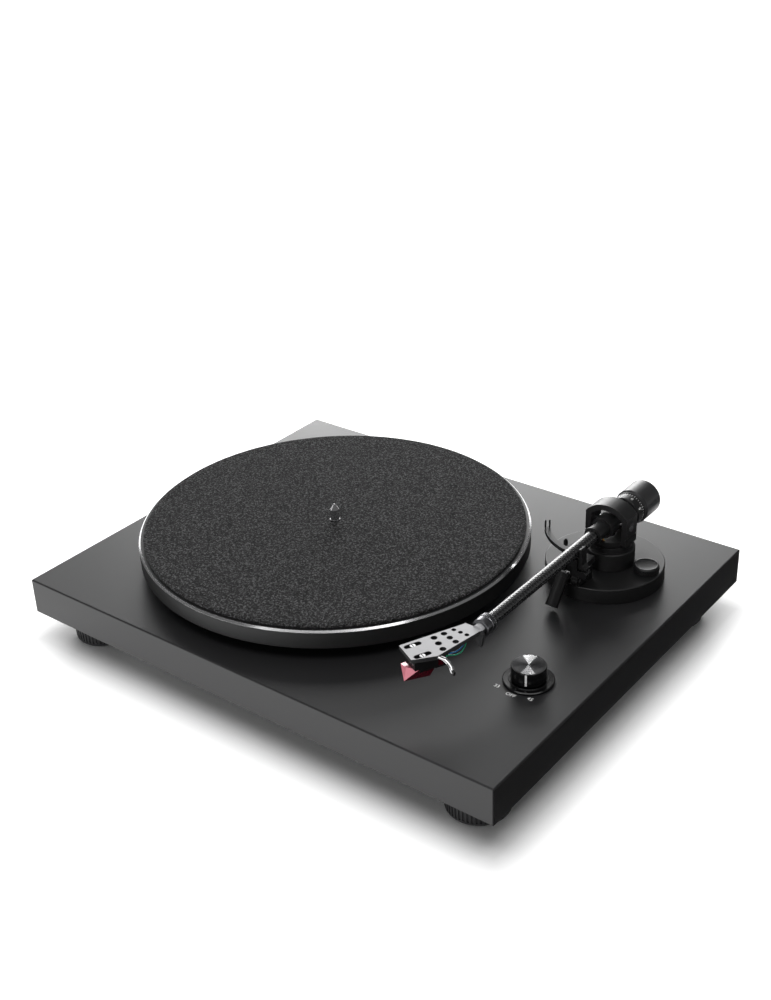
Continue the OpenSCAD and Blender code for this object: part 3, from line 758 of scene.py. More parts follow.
@dataclass(frozen=True)
class Felt(Finish):
    """Pressed felt: short tangled fibres with paler ends.

    Attributes:
        dark: colour between the fibres.
        pale: colour of the fibres' ends.
        fibre: width of the tufts, in millimetres.
        depth: depth of the tangle, in millimetres.
    """

    dark: Colour = (0.0015, 0.0015, 0.0016)
    pale: Colour = (0.1, 0.1, 0.102)
    fibre: float = 0.8
    depth: float = 0.5

    def make(self, slot: str) -> bpy.types.Material:
        """Builds the felt from fibres that lie two ways over a lumpy ground."""
        recipe = Recipe(slot)
        across = recipe.noise(self.fibre, 2, 0.6, (0.45, 1.5, 1), 0.8)
        along = recipe.noise(self.fibre, 2, 0.6, (1.5, 0.45, 1), 0.8)
        fibres = across.math("MAXIMUM", along)
        lumps = recipe.noise(self.fibre * 5, 3, 0.6)
        specks = recipe.noise(self.fibre * 1.7, 2, 0.8)
        height = fibres * 0.6 + specks * 0.3 + lumps * 0.25
        tint = specks.between(0.5, 0.66) * 0.8 + height.between(0.5, 0.7) * 0.2
        colour = recipe.mix(tint, self.dark, self.pale)
        normal = recipe.relief(height, self.depth)
        return recipe.shade(colour, 0.95, normal, Sheen_Weight=0.04, Sheen_Roughness=0.5,
                            Specular_IOR_Level=0.15)


@dataclass(frozen=True)
class CarbonWeave(Finish):
    """Carbon fibre tow woven on the bias round a tube along Y, under a clear coat.

    Attributes:
        tow: width of one band of fibres, in millimetres.
        dark: colour of the bands that lie deeper.
        pale: colour of the bands on top.
    """

    tow: float = 3.0
    dark: Colour = (0.003, 0.003, 0.0032)
    pale: Colour = (0.022, 0.022, 0.023)

    def make(self, slot: str) -> bpy.types.Material:
        """Builds the weave from two sets of bands that cross round the tube."""
        recipe = Recipe(slot)
        centre = middle("arm_tube")
        x, y, z = recipe.axes((centre.x, 0, centre.z))
        around = x.math("ARCTAN2", z) * half_width("arm_tube")
        wave = math.pi / self.tow
        left = ((around + y) * wave).math("SINE")
        right = ((around - y) * wave).math("SINE")
        over = (left * right).between(-0.08, 0.08)
        crown = over * left.math("ABSOLUTE") + (1.0 - over) * right.math("ABSOLUTE")
        threads = recipe.noise(0.25)
        colour = recipe.mix(over * 0.75 + threads * 0.25, self.dark, self.pale)
        roughness = over * 0.12 + threads * 0.08 + 0.22
        normal = recipe.relief(crown + threads * 0.2, 0.16)
        return recipe.shade(colour, roughness, normal, Coat_Weight=0.4, Coat_Roughness=0.05)


@dataclass(frozen=True)
class RedPaintedFacetLight(Finish):
    """Tinted clear plastic: its front facet is painted pale as where light falls, and its sides are painted
    deep red as shade.

    Attributes:
        deep: colour of the sides, painted shade.
        front: colour of the front facet, painted light.
        tip: the stylus's lower front corner in the shell's frame, in millimetres.
        shoulder: its upper right front corner.
        core: a point inside it.
    """

    deep: Colour = (0.03, 0.0003, 0.003)
    front: Colour = (0.66, 0.22, 0.27)
    tip: Point = (10.45, -50.7, -20.3)
    shoulder: Point = (18.3, -44.1, -9.3)
    core: Point = (10.0, -40.0, -14.0)

    def make(self, slot: str) -> bpy.types.Material:
        """Builds the plastic, split into painted light and painted shade along the plane through the edge
        between its two facets.
        """
        recipe = Recipe(slot)
        points = (self.tip, self.shoulder, self.core)
        tip, shoulder, core = (shell_frame() @ (Vector(point) * MM) / MM for point in points)
        across = (shoulder - tip).cross(core - tip).normalized()
        x, y, z = recipe.axes(tuple(tip))
        # painted light and shade: the front facet is pale, the facets behind the plane deep red
        front = (x * across.x + y * across.y + z * across.z).between(-0.05, 0.15)
        cloud = recipe.noise(3.5, 3)
        moulded = recipe.noise(0.3, 2)
        pale = tuple(channel * 0.8 for channel in self.front)
        colour = recipe.mix(front, self.deep, recipe.mix(cloud, pale, self.front))
        roughness = moulded * 0.08 + 0.12
        return recipe.shade(colour, roughness, recipe.relief(moulded, 0.003), Specular_IOR_Level=0.2)


@dataclass(frozen=True)
class CircuitBoard(Finish):
    """Green solder mask over copper tracks, with dark components on top.

    Attributes:
        mask: colour of the solder mask.
        track: colour of the mask over copper.
        part: colour of the components.
    """

    mask: Colour = (0.01, 0.09, 0.035)
    track: Colour = (0.03, 0.2, 0.08)
    part: Colour = (0.015, 0.015, 0.016)

    def make(self, slot: str) -> bpy.types.Material:
        """Builds the board, with straight tracks where a coarse grid of cells changes."""
        recipe = Recipe(slot)
        low, _ = span("control_board")
        _, _, z = recipe.axes(tuple(low))
        cells = recipe.node("ShaderNodeTexVoronoi", {"distance": "CHEBYCHEV", "feature": "F1"},
                            {"Vector": recipe.place, "Scale": 260.0}).outputs["Distance"]
        tracks = Tone(recipe.tree, cells) > 0.42
        parts = z > 1.7
        grain = recipe.noise(0.4, 3)
        colour = recipe.mix(parts, recipe.mix(tracks, self.mask, self.track), self.part)
        normal = recipe.relief(tracks * (1.0 - parts) + grain * 0.2, 0.035)
        return recipe.shade(colour, parts * 0.2 + grain * 0.1 + 0.25, normal)


@dataclass(frozen=True)
class Print(Finish):
    """Opaque printed ink or dyed insulation.

    Attributes:
        colour: the ink's colour.
        roughness: how blurred its reflections are.
    """

    colour: Colour = (0.85, 0.85, 0.84)
    roughness: float = 0.5

    def make(self, slot: str) -> bpy.types.Material:
        """Builds the ink, a little thinner in places."""
        recipe = Recipe(slot)
        thin = recipe.noise(0.6, 3)
        weak = tuple(channel * 0.8 for channel in self.colour)
        colour = recipe.mix(thin, weak, self.colour)
        return recipe.shade(colour, thin * 0.1 + (self.roughness - 0.05), recipe.relief(thin, 0.004))


class Ink(Enum):
    """Inks and insulation colours that pieces use besides their slot's own finish."""

    WHITE = Print()
    RED = Print((0.5, 0.015, 0.02), 0.35)
    GREEN = Print((0.01, 0.32, 0.16), 0.35)
    BLUE = Print((0.04, 0.3, 0.75), 0.35)
    PALE = Print((0.75, 0.72, 0.7), 0.35)
    AMBER = Print((0.45, 0.28, 0.03), 0.35)
    DIMPLE = Print((0.01, 0.01, 0.01), 0.6)


FINISHES: dict[str, Finish] = {
    "satin_black_paint": Coat((0.011, 0.011, 0.0116), 0.36, 0.3, 0.004),
    "dark_sheet": Coat((0.02, 0.02, 0.021), 0.5, 0.5, 0.01),
    "zinc_screw": Metal((0.62, 0.61, 0.58), 0.35),
    "foot_rubber": Moulding((0.014, 0.014, 0.015), 0.55, 0.3, 0.02),
    "pad_felt": Felt((0.02, 0.02, 0.02), (0.1, 0.1, 0.1), 0.9, 0.3),
    "bearing_aluminium": Metal((0.68, 0.68, 0.7), 0.3, 0.003, (1, 1, 6)),
    "bronze": Metal((0.72, 0.47, 0.2), 0.25),
    "polished_steel": Metal((0.85, 0.85, 0.86), 0.13, 0.0006),
    "motor_steel": Metal((0.55, 0.55, 0.56), 0.38, 0.004, (1, 1, 8)),
    "grommet_rubber": Moulding((0.016, 0.016, 0.017), 0.65),
    "belt_rubber": Moulding((0.01, 0.01, 0.01), 0.6, 0.4),
    "circuit_board": CircuitBoard(),
    "switch_plastic": Moulding((0.05, 0.05, 0.055), 0.4),
    "gloss_black": Coat((0.002, 0.002, 0.0022), 0.2, 0.8, 0.001, gloss=0.1),
    "gold_plate": Metal((0.9, 0.62, 0.24), 0.2, 0.001),
    "platter_black": PlatterCoat(),
    "felt_mat": Felt(),
    "sub_platter_plastic": Moulding((0.025, 0.025, 0.028), 0.4),
    # the knob cap's bow-tie highlight is painted into its colour
    "spun_aluminium": SpunPaintedHighlight("knob_cap"),
    "arm_black": Coat((0.006, 0.006, 0.0063), 0.4, 0.3, 0.004),
    "arm_black_plastic": Moulding((0.005, 0.005, 0.0053), 0.34, 0.25, 0.006, 0.4),
    "carbon_tube": CarbonWeave(),
    # the headshell's sides are painted dark as shade
    "shell_grey": TopFaceOverPaintedShade(NECK_RISE, (0.42, 0.42, 0.43), (0.02, 0.02, 0.021)),
    "cartridge_black": Moulding((0.004, 0.004, 0.0042), 0.32, 0.3, 0.006, 0.15),
    # the stylus's lit front facet and shaded sides are painted into its colour
    "stylus_red": RedPaintedFacetLight(),
    "lead_insulation": Print((0.01, 0.32, 0.16), 0.35),
    "collar_grey": Metal((0.2, 0.2, 0.21), 0.3, 0.002),
    "weight_grey": Coat((0.022, 0.022, 0.023), 0.36, 0.3, 0.004, 0.2),
}


def span(node: str) -> tuple[Vector, Vector]:
    """Gives a CAD node's lowest and highest corners, in millimetres."""
    low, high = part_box(node)
    return low / MM, high / MM


def middle(node: str) -> Vector:
    """Gives the middle of a CAD node's box, in millimetres."""
    low, high = span(node)
    return (low + high) / 2


def half_width(node: str) -> float:
    """Gives half of a CAD node's width along X, in millimetres."""
    low, high = span(node)
    return (high.x - low.x) / 2


def shell_frame() -> Matrix:
    """Gives the headshell's own frame, from the arm's axis and pivot, in metres."""
    pivot = middle("yaw_shaft")
    origin = (pivot.x - NECK_ASIDE, pivot.y - NECK_REACH, middle("arm_tube").z + NECK_RISE)
    return Matrix.Translation(Vector(origin) * MM) @ Matrix.Rotation(math.radians(-OFFSET_ANGLE), 4, "Z")


class Palette:
    """The materials made so far, one for each slot and ink."""

    def __init__(self) -> None:
        """Starts with none made."""
        self.made: dict[str, bpy.types.Material] = {}

    def slot(self, name: str) -> bpy.types.Material:
        """Gives the material of a slot, and makes it the first time."""
        if name not in self.made:
            self.made[name] = FINISHES[name].make(name)
        return self.made[name]

    def ink(self, ink: Ink) -> bpy.types.Material:
        """Gives the material of an ink, and makes it the first time."""
        name = f"ink_{ink.name.lower()}"
        if name not in self.made:
            self.made[name] = ink.value.make(name)
        return self.made[name]

    def dress_nodes(self) -> None:
        """Gives every CAD node the finish of the slot that the record states for it."""
        for part in frame["record"]["subparts"]:
            materials = frame["nodes"][part["node"]].data.materials
            materials.clear()
            materials.append(self.slot(part["material_slot"]))


# ---------------------------------------------------------------- sub-assemblies


@dataclass
class Assembly(ABC):
    """A group of pieces that are built and dressed together.

    Attributes:
        palette: the materials to dress them with.
    """

    palette: Palette

    @abstractmethod
    def build(self) -> None:
        """Builds and dresses every piece of the group."""

    def hand_over(self, piece: bpy.types.Object, name: str, body: str, slot: str,
                  replaces: Sequence[str] = (), ink: Ink | None = None) -> bpy.types.Object:
        """Dresses a finished piece and ties it to its body.

        Args:
            piece: the piece, in its place.
            name: its name.
            body: the CAD body that it rides on.
            slot: the record's slot that it takes its finish from.
            replaces: CAD nodes that it stands for.
            ink: an ink to use in place of the slot's finish.

        Returns:
            The same piece.
        """
        piece.name = name
        piece.data.materials.clear()
        piece.data.materials.append(self.palette.ink(ink) if ink else self.palette.slot(slot))
        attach(piece, body)
        if replaces:
            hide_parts(*replaces)
        log.info("%s: %d faces on %s", name, len(piece.data.polygons), body)
        return piece

    def over_node(self, piece: bpy.types.Object, name: str, body: str, slot: str, node: str) -> None:
        """Centres a piece on a CAD node's upright axis, and puts it in the node's place.

        Args:
            piece: the piece, round the origin's axis at its own height.
            name: its name.
            body: the CAD body that it rides on.
            slot: the record's slot that it takes its finish from.
            node: the CAD node that it stands for.
        """
        stand(piece, (middle(node).x, middle(node).y, 0))
        self.hand_over(piece, name, body, slot, [node])

    def ease_node(self, node: str, width: float, segments: int = 2,
                  cutters: Sequence[bpy.types.Object] = ()) -> bpy.types.Object:
        """Puts a copy with rounded edges in a CAD node's place.

        Args:
            node: the CAD node.
            width: how wide its edges' rounding is, in millimetres.
            segments: how many flats the rounding has.
            cutters: solids that are cut out of it first, and removed.

        Returns:
            The copy.
        """
        copy = merged(node)
        for cutter in cutters:
            finished(copy, "BOOLEAN", object=cutter, operation="DIFFERENCE", solver="EXACT")
            bpy.data.objects.remove(cutter)
        eased(copy, width, segments)
        part = next(p for p in frame["record"]["subparts"] if p["node"] == node)
        body = next(b for b, nodes in frame["record"]["behaviour"]["bodies"].items() if node in nodes)
        return self.hand_over(copy, f"{node}_shell", body, part["material_slot"], [node])


@dataclass
class Chassis(Assembly):
    """The board, its feet, its printed speeds and its rear sockets.

    Attributes:
        foot_sides: flats round a foot; every other one is a groove.
        groove: depth of a foot's grooves.
        print_height: height of the printed figures.
        ring: outer radius of the coloured ring round an output socket.
        ring_bore: its inner radius.
        speeds: what is printed, with its direction from the knob in degrees and its distance.
    """

    foot_sides: int = 96
    groove: float = 0.9
    print_height: float = 3.0
    ring: float = 7.2
    ring_bore: float = 6.05
    speeds: tuple[tuple[str, float, float], ...] = (
        ("33", -129, 22), ("OFF", -93, 20.4), ("45", -55, 20.8))

    def build(self) -> None:
        """Builds the board, feet, print and socket rings."""
        self.ease_node("plinth", 0.35)
        self.ease_node("bottom_cover", 0.4)
        self.ease_node("rear_panel", 0.3)
        self.feet()
        self.print_speeds()
        self.socket_rings()

    def feet(self) -> None:
        """Turns one ribbed foot and copies it to the four corners."""
        low, high = span("foot_front_left")
        radius = half_width("foot_front_left")
        section = [(radius - 1.7, low.z), (radius - 1.1, low.z + 0.9), (radius - 0.8, low.z + 2.4),
                   (radius - 0.05, high.z - 3.4), (radius - 0.05, high.z - 1.6),
                   (radius - 0.6, high.z - 1.2), (radius - 0.6, high.z)]
        first = turned("foot", section, self.foot_sides)
        ribbed(first, self.foot_sides, low.z + 2.4, high.z - 3.4, self.groove)
        eased(first, 0.15, 2, 25)
        for place in ("front_left", "front_right", "rear_left", "rear_right"):
            node = f"foot_{place}"
            foot = bpy.data.objects.new(node, first.data.copy())
            bpy.context.scene.collection.objects.link(foot)
            self.over_node(foot, f"{node}_ribbed", "root", "foot_rubber", node)
        bpy.data.objects.remove(first)

    def print_speeds(self) -> None:
        """Prints the three positions of the speed knob in front of it."""
        top = span("plinth")[1].z
        axis = middle("speed_knob")
        for words, degrees, reach in self.speeds:
            turn = math.radians(degrees)
            text = lettering(f"print_{words}", words, self.print_height, 0.04)
            stand(text, (axis.x + reach * math.cos(turn), axis.y + reach * math.sin(turn), top + 0.02))
            self.hand_over(text, f"speed_print_{words}", "root", "satin_black_paint", ink=Ink.WHITE)

    def socket_rings(self) -> None:
        """Fits a red and a white ring round the two output sockets."""
        low, high = span("rca_jacks")
        back = span("rear_panel")[1].y
        for name, x, ink in (("left", low.x + 6, Ink.PALE), ("right", high.x - 6, Ink.RED)):
            section = [(self.ring, 0.02), (self.ring, 0.9), (self.ring - 0.4, 1.3)]
            ring = turned(f"ring_{name}", section, 64, self.ring_bore)
            eased(ring, 0.12)
            stand(ring, (x, back, (low.z + high.z) / 2), (0, 1, 0))
            self.hand_over(ring, f"socket_ring_{name}", "root", "switch_plastic", ink=ink)


@dataclass
class Turntable(Assembly):
    """The felt mat on the platter.

    Attributes:
        rings: how many rings of faces the mat has from its rim to its hole.
        sides: how many faces go round it.
        swell: how far the felt's surface wanders, in millimetres.
        hole: radius of the hole round the spindle, in millimetres.
        edge: how far the felt's rounded edge reaches in, in millimetres.
    """

    rings: int = 40
    sides: int = 256
    swell: float = 0.22
    hole: float = 4.2
    edge: float = 1.2

    def build(self) -> None:
        """Lays the mat."""
        low, high = span("platter_mat")
        radius = half_width("platter_mat")
        section = [(radius - 0.5, low.z + 0.05), (radius - 0.12, low.z + 0.5), (radius - 0.12, high.z - 0.9),
                   (radius - 0.5, high.z - 0.35), (radius - self.edge, high.z - 0.12)]
        flat = radius - self.edge - self.hole - 0.4
        for step in range(1, self.rings):
            section.append((radius - self.edge - flat * step / self.rings, high.z - 0.12))
        section += [(self.hole + 0.4, high.z - 0.16), (self.hole, high.z - 0.5)]
        mat = turned("mat", section, self.sides, self.hole - 0.02)
        self.roughen(mat)
        bpy.ops.object.shade_smooth_by_angle(angle=math.radians(50))
        self.over_node(mat, "felt_mat_sheet", "platter", "felt_mat", "platter_mat")

    def roughen(self, mat: bpy.types.Object) -> None:
        """Lets the felt's surface rise and fall a little, as pressed fibre does.

        Args:
            mat: the mat, still round the origin's axis.
        """
        clouds = bpy.data.textures.new("felt_swell", "CLOUDS")
        clouds.noise_scale = 0.006
        finished(mat, "DISPLACE", texture=clouds, strength=self.swell * MM, mid_level=0.75, direction="Z")


@dataclass
class SpeedKnob(Assembly):
    """The rotary knob: its faced cap, pointer line and ring.

    Attributes:
        rings: how many turned rings the cap has.
        ring_depth: how deep they are, in millimetres.
        pointer: direction of the pointer line, in degrees.
        line: width of the pointer line, in millimetres.
        line_length: its length down the knob's side, in millimetres.
        index: direction of the dimple on the ring, in degrees.
        index_reach: its distance from the knob's axis, in millimetres.
        bezel_bore: radius of the ring's hole, in millimetres.
    """

    rings: int = 30
    ring_depth: float = 0.035
    pointer: float = -67.0
    line: float = 1.4
    line_length: float = 9.2
    index: float = -92.0
    index_reach: float = 15.1
    bezel_bore: float = 4.6

    def build(self) -> None:
        """Builds the cap, pointer and ring."""
        self.cap()
        self.pointer_line()
        self.bezel()

    def cap(self) -> None:
        """Faces the cap with fine rings that rise and fall."""
        low, high = span("knob_cap")
        radius = half_width("knob_cap") - 0.02
        section = [(radius, low.z), (radius, high.z - 0.12), (radius - 0.25, high.z)]
        step = (radius - 0.5) / self.rings
        for ring in range(self.rings):
            section.append((radius - 0.25 - step * (ring + 0.5), high.z - self.ring_depth))
            section.append((radius - 0.25 - step * (ring + 1), high.z))
        cap = turned("cap", section, 128)
        eased(cap, 0.02, 1, 60)
        self.over_node(cap, "knob_cap_faced", "speed_knob", "spun_aluminium", "knob_cap")

    def pointer_line(self) -> None:
        """Inlays the white line down the knob's side and over its edge."""
        top = span("knob_cap")[1].z
        radius = half_width("speed_knob")
        line = block("line", (radius - 0.5, -self.line / 2, top - self.line_length),
                     (radius + 0.12, self.line / 2, top - 0.45))
        eased(line, 0.08)
        axis = middle("speed_knob")
        stand(line, (axis.x, axis.y, 0), spin=self.pointer)
        self.hand_over(line, "knob_pointer", "speed_knob", "gloss_black", ink=Ink.WHITE)

    def bezel(self) -> None:
        """Turns the ring under the knob, with a raised lip inside and a small index dimple."""
        low, high = span("knob_bezel")
        radius = half_width("knob_bezel")
        section = [(radius - 0.15, low.z), (radius, low.z + 0.2), (radius, high.z - 0.7),
                   (radius - 0.7, high.z - 0.25), (13.6, high.z - 0.45), (13.3, high.z),
                   (12.7, high.z), (12.5, high.z - 0.9), (6, high.z - 0.9)]
        ring = turned("bezel", section, 128, self.bezel_bore)
        eased(ring, 0.08)
        self.over_node(ring, "knob_bezel_ring", "root", "gloss_black", "knob_bezel")
        dimple = turned("dimple", [(0.6, 0), (0.6, 0.12), (0.4, 0.18)], 24)
        eased(dimple, 0.03)
        axis, turn = middle("knob_bezel"), math.radians(self.index)
        stand(dimple, (axis.x + self.index_reach * math.cos(turn), axis.y + self.index_reach * math.sin(turn),
                       high.z - 0.42))
        self.hand_over(dimple, "bezel_index", "root", "gloss_black", ink=Ink.DIMPLE)


@dataclass
class ArmBase(Assembly):
    """The round base, its pedestal, the rest, the lift and the anti-skate knob.

    Attributes:
        knob_sides: flats round the anti-skate knob; every other one is a groove.
        groove: depth of its grooves, in millimetres.
        edges: how wide each fixed piece's edges are rounded, in millimetres.
    """

    knob_sides: int = 72
    groove: float = 0.35
    edges: tuple[tuple[str, float], ...] = (
        ("tonearm_base", 0.5), ("pedestal", 0.4), ("lift_housing", 0.3), ("arm_rest", 0.3),
        ("rest_latch", 0.3), ("lift_platform", 0.25), ("cue_lever", 0.3))

    def build(self) -> None:
        """Eases the fixed pieces and turns the anti-skate knob."""
        for node, width in self.edges:
            self.ease_node(node, width)
        self.anti_skate()

    def anti_skate(self) -> None:
        """Turns the anti-skate knob with a ribbed band and a shallow dish on top."""
        low, high = span("anti_skate_knob")
        radius = half_width("anti_skate_knob")
        foot = span("tonearm_base")[1].z + 0.45
        section = [(2.0, low.z), (2.0, foot), (radius - 0.5, foot), (radius - 0.05, foot + 0.4),
                   (radius - 0.05, high.z - 1.1), (radius - 0.5, high.z - 0.5), (radius - 1.0, high.z - 0.1),
                   (radius - 1.6, high.z), (radius - 2.4, high.z - 0.35), (1.2, high.z - 0.55)]
        knob = turned("anti_skate", section, self.knob_sides)
        ribbed(knob, self.knob_sides, foot + 0.4, high.z - 1.1, self.groove)
        eased(knob, 0.08, 2, 28)
        self.over_node(knob, "anti_skate_ribbed", "anti_skate_knob", "arm_black_plastic", "anti_skate_knob")


@dataclass
class Arm(Assembly):
    """The gimbal, barrel, collar and counterweight.

    Attributes:
        slit: width of the slits across the yoke's cheeks, in millimetres.
        slit_rise: their distance over and under the arm's axis, in millimetres.
        collar_sides: flats round the collar's knurled half.
        collar_bore: radius of the collar's hole, in millimetres.
        ticks: how many ticks stand between two of the dial's figures, with the figure's own.
        figures: what is printed round the force dial.
    """

    slit: float = 0.9
    slit_rise: float = 8.2
    collar_sides: int = 60
    collar_bore: float = 4.02
    ticks: int = 5
    figures: tuple[str, ...] = ("0", ".5", "1", "1.5", "2", "2.5", "3", "3.5")

    def build(self) -> None:
        """Builds the pieces from the yoke outwards."""
        self.yoke()
        self.ease_node("arm_barrel", 0.35)
        self.ease_node("counterweight", 0.6, 3)
        self.ease_node("force_dial", 0.3)
        self.ease_node("counterweight_stub", 0.2)
        self.collar()
        self.dial_print()
        self.arm_leads()

    def yoke(self) -> None:
        """Cuts two slits across each cheek of the yoke and rounds its edges."""
        low, high = span("gimbal_yoke")
        axis_z = middle("arm_tube").z
        cutters = []
        for side, face in ((-1, low.x), (1, high.x)):
            inner, outer = sorted((face - side * 0.8, face + side))
            for z in (axis_z + self.slit_rise, axis_z - self.slit_rise):
                cutters.append(block("slit", (inner, low.y - 1, z - self.slit / 2),
                                     (outer, high.y + 1, z + self.slit / 2)))
        self.ease_node("gimbal_yoke", 0.45, 3, cutters)

    def collar(self) -> None:
        """Turns the headshell's locking collar: a smooth grey nose and a knurled ring."""
        low, high = span("locking_collar")
        radius = half_width("locking_collar")
        length = high.y - low.y
        nose = length * 0.55
        section = [(radius - 1.0, 0), (radius - 0.4, 0.6), (radius - 0.25, nose - 0.5), (radius - 0.9, nose),
                   (radius - 0.05, nose + 0.4), (radius - 0.05, length - 0.5), (radius - 0.6, length)]
        collar = turned("collar", section, self.collar_sides, self.collar_bore)
        ribbed(collar, self.collar_sides, nose + 0.4, length - 0.5, 0.3)
        eased(collar, 0.06, 2, 28)
        stand(collar, (middle("locking_collar").x, low.y, middle("locking_collar").z), (0, 1, 0))
        self.hand_over(collar, "locking_collar_knurled", "locking_collar", "collar_grey", ["locking_collar"])

    def dial_print(self) -> None:
        """Prints figures and ticks round the force dial, and joins them as one piece."""
        back = span("force_dial")[1].y
        axis = middle("force_dial")
        radius = half_width("force_dial") + 0.01
        step = 360 / len(self.figures)
        marks = []
        for index, words in enumerate(self.figures):
            degrees = index * step + 20
            text = lettering(f"figure_{index}", words, 2.6, 0.05)
            marks.append(self.round_dial(text, radius, axis, axis.y - 0.4, degrees))
            for part in range(self.ticks):
                front = -0.7 if part else -1.1
                tick = block(f"tick_{index}_{part}", (-0.12, front, -0.02), (0.12, 0.7, 0.02))
                turn = degrees + part * step / self.ticks
                marks.append(self.round_dial(tick, radius, axis, back - 1.0, turn))
        bpy.ops.object.select_all(action="DESELECT")
        for mark in marks:
            mark.select_set(True)
        bpy.context.view_layer.objects.active = marks[0]
        bpy.ops.object.join()
        self.hand_over(marks[0], "force_dial_print", "force_dial", "arm_black_plastic", ink=Ink.WHITE)

    def round_dial(self, mark: bpy.types.Object, radius: float, axis: Vector, y: float,
                   degrees: float) -> bpy.types.Object:
        """Stands a flat mark on the dial's round face.

        Args:
            mark: the mark, flat on the origin and read from above.
            radius: the dial's radius, in millimetres.
            axis: a point on the dial's axis.
            y: the mark's place along it.
            degrees: its place round it.

        Returns:
            The mark, in place.
        """
        up = Matrix.Translation((0, 0, radius * MM)) @ Matrix.Rotation(math.pi, 4, "Z")
        turn = Matrix.Rotation(math.radians(degrees), 4, "Y")
        mark.data.transform(Matrix.Translation(Vector((axis.x, y, axis.z)) * MM) @ turn @ up)
        return mark

    def arm_leads(self) -> None:
        """Loops the signal leads from the pedestal up into the barrel."""
        pivot = middle("pedestal")
        top = span("pedestal")[1].z
        height = middle("arm_barrel").z
        for index, ink in enumerate((Ink.PALE, Ink.GREEN, Ink.RED, Ink.AMBER)):
            shift = index * 0.8 - 1.2
            route = [(pivot.x - 1 + shift, pivot.y - 9.5, height - 8.2 + index * 0.2),
                     (pivot.x - 1 + shift, pivot.y - 11.5, height - 9.2),
                     (pivot.x + shift, pivot.y - 13.2, top + 6.5),
                     (pivot.x + 0.5 + shift, pivot.y - 12, top + 4.2),
                     (pivot.x + 1 + shift, pivot.y - 9.5, top + 3.6)]
            lead = wire(f"arm_lead_{index}", route, 0.36)
            self.hand_over(lead, f"arm_lead_{ink.name.lower()}", "arm_yoke", "lead_insulation", ink=ink)


@dataclass
class Head(Assembly):
    """The headshell with its cartridge, stylus, leads and finger lift.

    Attributes:
        pins: places of the cartridge's pins across the shell.
        pin_depth: height of the pins under the shell's top.
        lead: radius of a lead.
        placed: the shell's own frame.
    """

    pins: tuple[float, ...] = (7.0, 9.4, 11.5, 13.9)
    pin_depth: float = -9.0
    lead: float = 0.42
    placed: Matrix = field(default_factory=shell_frame)

    def build(self) -> None:
        """Builds the shell, cartridge, stylus, leads and finger tip."""
        for node, width in (("headshell", 0.3), ("cartridge", 0.3), ("stylus", 0.15)):
            self.ease_node(node, width)
        self.cantilever()
        self.fittings()
        self.leads()
        self.finger_tip()

    def in_shell(self, piece: bpy.types.Object) -> bpy.types.Object:
        """Takes a piece from the shell's frame to its place."""
        piece.data.transform(self.placed)
        return piece

    def cantilever(self) -> None:
        """Adds the thin stylus rod under the cartridge."""
        rod = turned("rod", [(0.3, 0), (0.3, 7.8), (0.18, 8.6)], 20)
        eased(rod, 0.05)
        stand(rod, (10.45, -40.5, -17.75), (0, -1, -0.29))
        self.hand_over(self.in_shell(rod), "stylus_cantilever", "arm", "polished_steel")

    def fittings(self) -> None:
        """Adds the cartridge's red tab and the bright clips over the stylus's back."""
        tab = block("tab", (16.9, -30.6, -11.0), (18.6, -26.4, -6.6))
        eased(tab, 0.4, 3)
        self.hand_over(self.in_shell(tab), "cartridge_tab", "arm", "stylus_red")
        for index, across in enumerate((12.6, 16.6)):
            clip = block("clip", (across - 0.5, -47.3, -6.4), (across + 0.5, -46.95, -4.4))
            eased(clip, 0.15)
            self.hand_over(self.in_shell(clip), f"cartridge_clip_{index}", "arm", "polished_steel")

    def leads(self) -> None:
        """Runs the four coloured leads from the shell's neck to the cartridge's pins."""
        inks = (Ink.RED, Ink.PALE, Ink.BLUE, Ink.GREEN)
        for index, (across, ink) in enumerate(zip(self.pins, inks)):
            bulge = index * 1.1
            route = [(5.0 + index * 0.9, -1.5, -5.5), (6.0 + index * 1.6, -5.5, -7.6 - index * 0.3),
                     (across + 0.4 + bulge * 0.7, -11.5, -9.4 - index * 0.25),
                     (across + bulge * 0.35, -17.0, -9.6), (across, -20.6, self.pin_depth)]
            lead = self.in_shell(wire(f"lead_{index}", route, self.lead))
            replaced = ["headshell_leads"] if index == 0 else []
            self.hand_over(lead, f"shell_lead_{ink.name.lower()}", "arm", "lead_insulation", replaced, ink)
            sleeve = turned("sleeve", [(0.75, 0), (0.75, 3.2), (0.55, 3.5)], 24, 0.5)
            eased(sleeve, 0.06)
            stand(sleeve, (across, -20.4, self.pin_depth), (0, -1, 0))
            name = f"lead_sleeve_{ink.name.lower()}"
            self.hand_over(self.in_shell(sleeve), name, "arm", "lead_insulation", ink=ink)

    def finger_tip(self) -> None:
        """Slips a dark cap over the end of the finger lift."""
        tip = turned("tip", [(1.3, 0), (1.85, 0.4), (1.9, 2.2), (1.3, 3.0)], 32)
        eased(tip, 0.25, 3)
        tip.data.transform(Matrix.Diagonal((1, 0.62, 1, 1)))
        stand(tip, (32.6, -27.85, -7.0), (0.9, -0.12, -0.42))
        self.hand_over(self.in_shell(tip), "finger_tip", "arm", "arm_black_plastic")


# ---------------------------------------------------------------- studio


